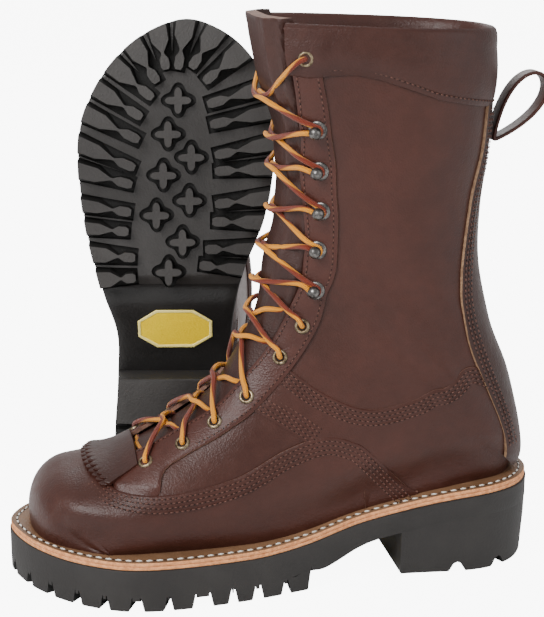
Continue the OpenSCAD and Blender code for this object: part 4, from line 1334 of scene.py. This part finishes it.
STRAP_SHAPE = [(-1, -0.25), (-0.93, -0.42), (-0.8, -0.5), (0.8, -0.5), (0.93, -0.42), (1, -0.25), (1, 0.25),
               (0.93, 0.42), (0.8, 0.5), (-0.8, 0.5), (-0.93, 0.42), (-1, 0.25)]
for boot, (direction, bulge) in (("left", (-128, 9)), ("right", (90, 2.5))):
    line = strap_line(direction, bulge)
    ahead = np.roll(line, -1, 0) - np.roll(line, 1, 0)
    ahead /= np.linalg.norm(ahead, axis=1, keepdims=True)
    across = np.array([0.0, 1, 0])
    thick = np.cross(ahead, across)
    shape = np.array(STRAP_SHAPE + STRAP_SHAPE[:1])
    grid = line[:, None] + across * (shape[:, 0] * LOOP_W / 2)[None, :, None] + \
        thick[:, None] * (shape[:, 1] * STRAP)[None, :, None]
    loop = Shell()
    loop.strip(grid, 0, around=True)
    mesh = loop.mesh(f"{boot}_pull_strap", boot)
    merged(mesh)
    finished(f"{boot}_pull_strap", mesh, [brown_leather], f"{boot}_loop", [f"{boot}_pull_loop"])

# ---- eyelets, hooks and laces -------------------------------------------------------------

LEVELS = [(5.9, 33), (6.94, 34), (7.86, 33), (8.74, 37), (9.8, 38), (10.7, 40), (11.78, 39), (13.24, 37), (14.88, 41),
          (16.34, 43), (17.86, 46), (20.12, 45)]
HOOKS = (6, 7, 8, 9, 10)
EYELETS = (0, 1, 2, 3, 4, 5, 11)
LACE_R = 1.5


def stay_face(level):
    """Height of the leather that a fitting sits on."""
    return 4.0 if level == 11 else EYESTAY_TOP - 0.4


def lathed(name, profile, around=28):
    """A turned fitting, in metres, from (radius, height) in millimetres."""
    t = np.arange(around) * 2 * math.pi / around
    grid = np.array([[(r * math.cos(a), r * math.sin(a), z) for r, z in profile] for a in t]) / 1000
    n, m = grid.shape[:2]
    faces = [(i * m + j, ((i + 1) % n) * m + j, ((i + 1) % n) * m + j + 1, i * m + j + 1)
             for i in range(n) for j in range(m - 1)]
    mesh = bpy.data.meshes.new(name)
    mesh.from_pydata(grid.reshape(-1, 3).tolist(), [], faces)
    merged(mesh, 0.000001)
    mesh.shade_smooth()
    part = bpy.data.objects.new(name, mesh)
    bpy.context.scene.collection.objects.link(part)
    return part


RIM = [(2.4, -2.0), (2.4, 0.35), (2.65, 0.85), (3.15, 1.1), (3.7, 1.0), (4.15, 0.6), (4.3, 0.1), (4.3, -0.5),
       (2.4, -2.0)]
BALL = [(0, -0.6), (5.2, -0.6), (5.2, 0.1), (4.8, 0.6), (4.0, 0.85), (2.0, 0.9), (1.1, 1.3), (1.0, 2.4)]
BALL += [(3.4 * math.sin(math.radians(t)), 5.5 - 3.4 * math.cos(math.radians(t))) for t in range(18, 181, 9)]


def stamp(name, levels, profile, lift, finish, nodes=(), crease=50):
    part = lathed(name + "_pattern", profile)
    for boot in PLACES:
        spots, ups = [], []
        for level in levels:
            s, a = LEVELS[level]
            for side in (1, -1):
                spots.append(lifted(s, side * a, stay_face(level) + lift))
                ups.append(outward(s, side * a))
        mesh = grown(f"{boot}_{name}", placed(spots, boot), [], turned_up(ups, boot), FITTING, Fitting=part,
                     Metal=finish)
        finished(f"{boot}_{name}", mesh, [finish], f"{boot}_boot", [f"{boot}_{n}" for n in nodes], crease)
    bpy.data.objects.remove(part)


stamp("eyelet_rims", EYELETS, RIM, 0, antique_brass, ["eyelets"])
# A dark disc inside each eyelet rim: painted shade for the inside of the hole.
stamp("eyelet_throats", EYELETS, [(0, -0.4), (2.5, -0.4), (2.5, 0.12), (0, 0.12)], 0, painted_hole_shade)
stamp("ball_hooks", HOOKS, BALL, 0, dark_metal, ["lace_hooks"])


def facing_at(s):
    return np.interp(s, front_s, front_a)


def centre_lift(s, over):
    """Where the lace rides over the tongue's middle."""
    return float(tongue_face(np.array(s), np.array(0.0))) + LACE_R + 0.3 + (2 * LACE_R + 0.1 if over else 0)


def level_across(s, a, below):
    """Section whose front lies straight across from a fitting, or some millimetres below that."""
    near = np.linspace(max(s - 2.6, 5.0), s + 0.3, 80)
    ahead = surface(s + 0.2, 0) - surface(s - 0.2, 0)
    ahead /= np.linalg.norm(ahead)
    return float(near[np.argmin(np.abs((surface(near, 0) - surface(s, a)) @ ahead + below))])


def over_facing(fitting, middle_s, over, side):
    """Lace from a fitting's facing edge toward the middle, pulled straight."""
    s, a = LEVELS[fitting]
    f = min((facing_at(s) + 1.5) / a, 0.86)
    edge = lifted(middle_s + (s - middle_s) * f, side * a * f, stay_face(fitting) + LACE_R + 0.3)
    middle = lifted(middle_s, side * 4, centre_lift(middle_s, over) + 0.1)
    return [edge, edge * 0.5 + middle * 0.5 + outward(middle_s, side * 14) * 0.3, middle]


def lace_route(start, over):
    """One half of the lace, from under the throat up to its tucked end."""
    route = [lifted(5.72, 0, -0.8 if over else -3.6), lifted(5.78, start * 12, -1.8)]
    last = len(LEVELS) - 1
    for i, (s, a) in enumerate(LEVELS):
        side = start if i % 2 == 0 else -start
        rest = stay_face(i) + LACE_R + 0.1
        if i in HOOKS:
            here, up = surface(s, side * a), outward(s, side * a)
            aside = surface(s, side * (a + 1)) - here
            aside /= np.linalg.norm(aside)
            rise = np.cross(up, aside) * side
            for t in (-105, -60, -15, 30, 75, 110):
                c, q = math.cos(math.radians(t)), math.sin(math.radians(t))
                route.append(here + up * (rest + 0.2 + 0.15 * q) + (aside * c + rise * q) * (LACE_R + 0.7))
        elif i < last:
            route += [lifted(s, side * (a - 3.0), -1.2), lifted(s, side * a, 0.2),
                      lifted(s + 0.01, side * (a - 0.3), rest - 0.4), lifted(s + 0.08, side * (a - 3.0), rest + 0.9)]
        else:
            route += [lifted(s - 0.06, side * (a - 3), rest + 1.0), lifted(s, side * (a - 0.2), rest - 0.6),
                      lifted(s, side * a, 0), lifted(s - 0.05, side * (a + 1), -5.5),
                      lifted(19.4, side * (a + 7), -7.6), lifted(18.2, side * (a + 14), -8)]
            break
        onto = i + 1
        cross_s = level_across(*LEVELS[onto], 19 if onto == last else 3)
        middle = centre_lift(cross_s, over)
        route += over_facing(i, cross_s, over, side)
        if onto in HOOKS or onto == last:
            route += over_facing(onto, cross_s, over, -side)[::-1]
        else:
            next_s = LEVELS[onto][0]
            edge = facing_at(next_s)
            route += [lifted(cross_s, -side * 4, middle + 0.1),
                      lifted(cross_s + (next_s - cross_s) * 0.4, -side * edge * 0.45, middle * 0.6 + 0.6),
                      lifted(cross_s + (next_s - cross_s) * 0.7, -side * edge * 0.8, 0.5),
                      lifted(next_s, -side * (edge + 0.5), -1.2)]
    return np.array(route)


def smooth_line(points, step):
    """The points' curve, evenly spaced, with its small kinks eased."""
    fine = bend_through(points, np.linspace(0, len(points) - 1, 24 * len(points)))
    for _ in range(60):
        fine[1:-1] = 0.25 * fine[:-2] + 0.5 * fine[1:-1] + 0.25 * fine[2:]
    length = runs(fine)
    even = np.linspace(0, length[-1], int(length[-1] / step))
    return np.stack([np.interp(even, length, fine[:, k]) for k in range(3)], axis=1)


def cord_tube(shell, line, radius, sides=12):
    """A round cord along a line, with its length in centimetres and the way round as UV."""
    ahead = np.gradient(line, axis=0)
    ahead /= np.linalg.norm(ahead, axis=1, keepdims=True)
    up = np.cross(ahead[0], [0.1, 0.2, 1])
    up /= np.linalg.norm(up)
    frames = []
    for direction in ahead:
        up = up - direction * np.dot(up, direction)
        up /= np.linalg.norm(up)
        frames.append((up, np.cross(direction, up)))
    turn = np.linspace(0, 2 * math.pi, sides + 1)
    grid = np.array([[p + radius * (math.cos(t) * u + math.sin(t) * v) for t in turn]
                     for p, (u, v) in zip(line, frames)])
    length = runs(line) / 10
    uv = np.stack(np.meshgrid(length, turn / (2 * math.pi), indexing="ij"), axis=-1)
    shell.strip(grid, 0, uv=uv)
    for end in (0, -1):
        shell.add(grid[end, :-1], [list(range(sides))], 0, uv[end, :-1])
    return runs(line)[-1]


laces = Shell()
lace_length = sum(cord_tube(laces, smooth_line(lace_route(side, over), 1.3), LACE_R)
                  for side, over in ((1, True), (-1, False)))
print("lace length in one boot, mm:", round(lace_length))
both_boots("threaded_lace", laces, [lace_cord], ["lace"], "lace_cord", crease=80)

# ---- seams --------------------------------------------------------------------------------

STITCH, HOLE = (2.0, 0.95, 0.75), (0.95, 0.85, 0.5)
rows = []
for side in (1, -1):
    def on(path):
        return path if side > 0 else mirrored(path)

    rows += beside(on(VAMP_SEAM), [side * d for d in (-2.2, -4.7, -7.2, -9.7)], 260, VAMP_TOP, 0.5)
    rows += beside(on(QUARTER_FRONT), [side * d for d in (1.8, 4.1, 6.4, 8.7, 11.0)], 60, QUARTER_TOP + 0.1)
    rows += beside(on(COUNTER_SEAM), [side * d for d in (-2.0, -4.3, -6.6, -8.9)], 200, QUARTER_TOP + 0.15, 1, 0.6)
    rows += beside(on(EYESTAY_BACK[4:-1]), [side * 2.2], 240, EYESTAY_TOP - 0.35, 0.6)
    rows += beside(on(FACING_EDGE[1:-1]), [side * -2.4], 240, EYESTAY_TOP - 0.35, 0.6)
    rows += beside(on([(s, a) for a, s in COLLAR_SEAM[3:]]), [side * 3.0], 170, 3.05, 0)
    rows += beside(on([(s, a) for a, s in COLLAR_SEAM[3:6]]), [side * 5.4], 60, 3.2, 0)
    backstay_edge = [(s, 180 - h) for s, h in zip(stay_s[6::12], half_a[6::12])]
    rows += beside(on(backstay_edge), [side * d for d in (-2.2, -4.6, -7.0)], 150, 2.85)
sew("upper_stitching", rows, 3.0, STITCH, HOLE, seam_thread)

for piece, finish in (("cork_filler", cork), ("steel_shank", shank_steel), ("insole", insole_leather)):
    for boot in PLACES:
        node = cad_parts[f"{boot}_{piece}"]
        node.data.materials.clear()
        node.data.materials.append(finish)

(cad_low, cad_high), (low, high) = cad_box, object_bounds()
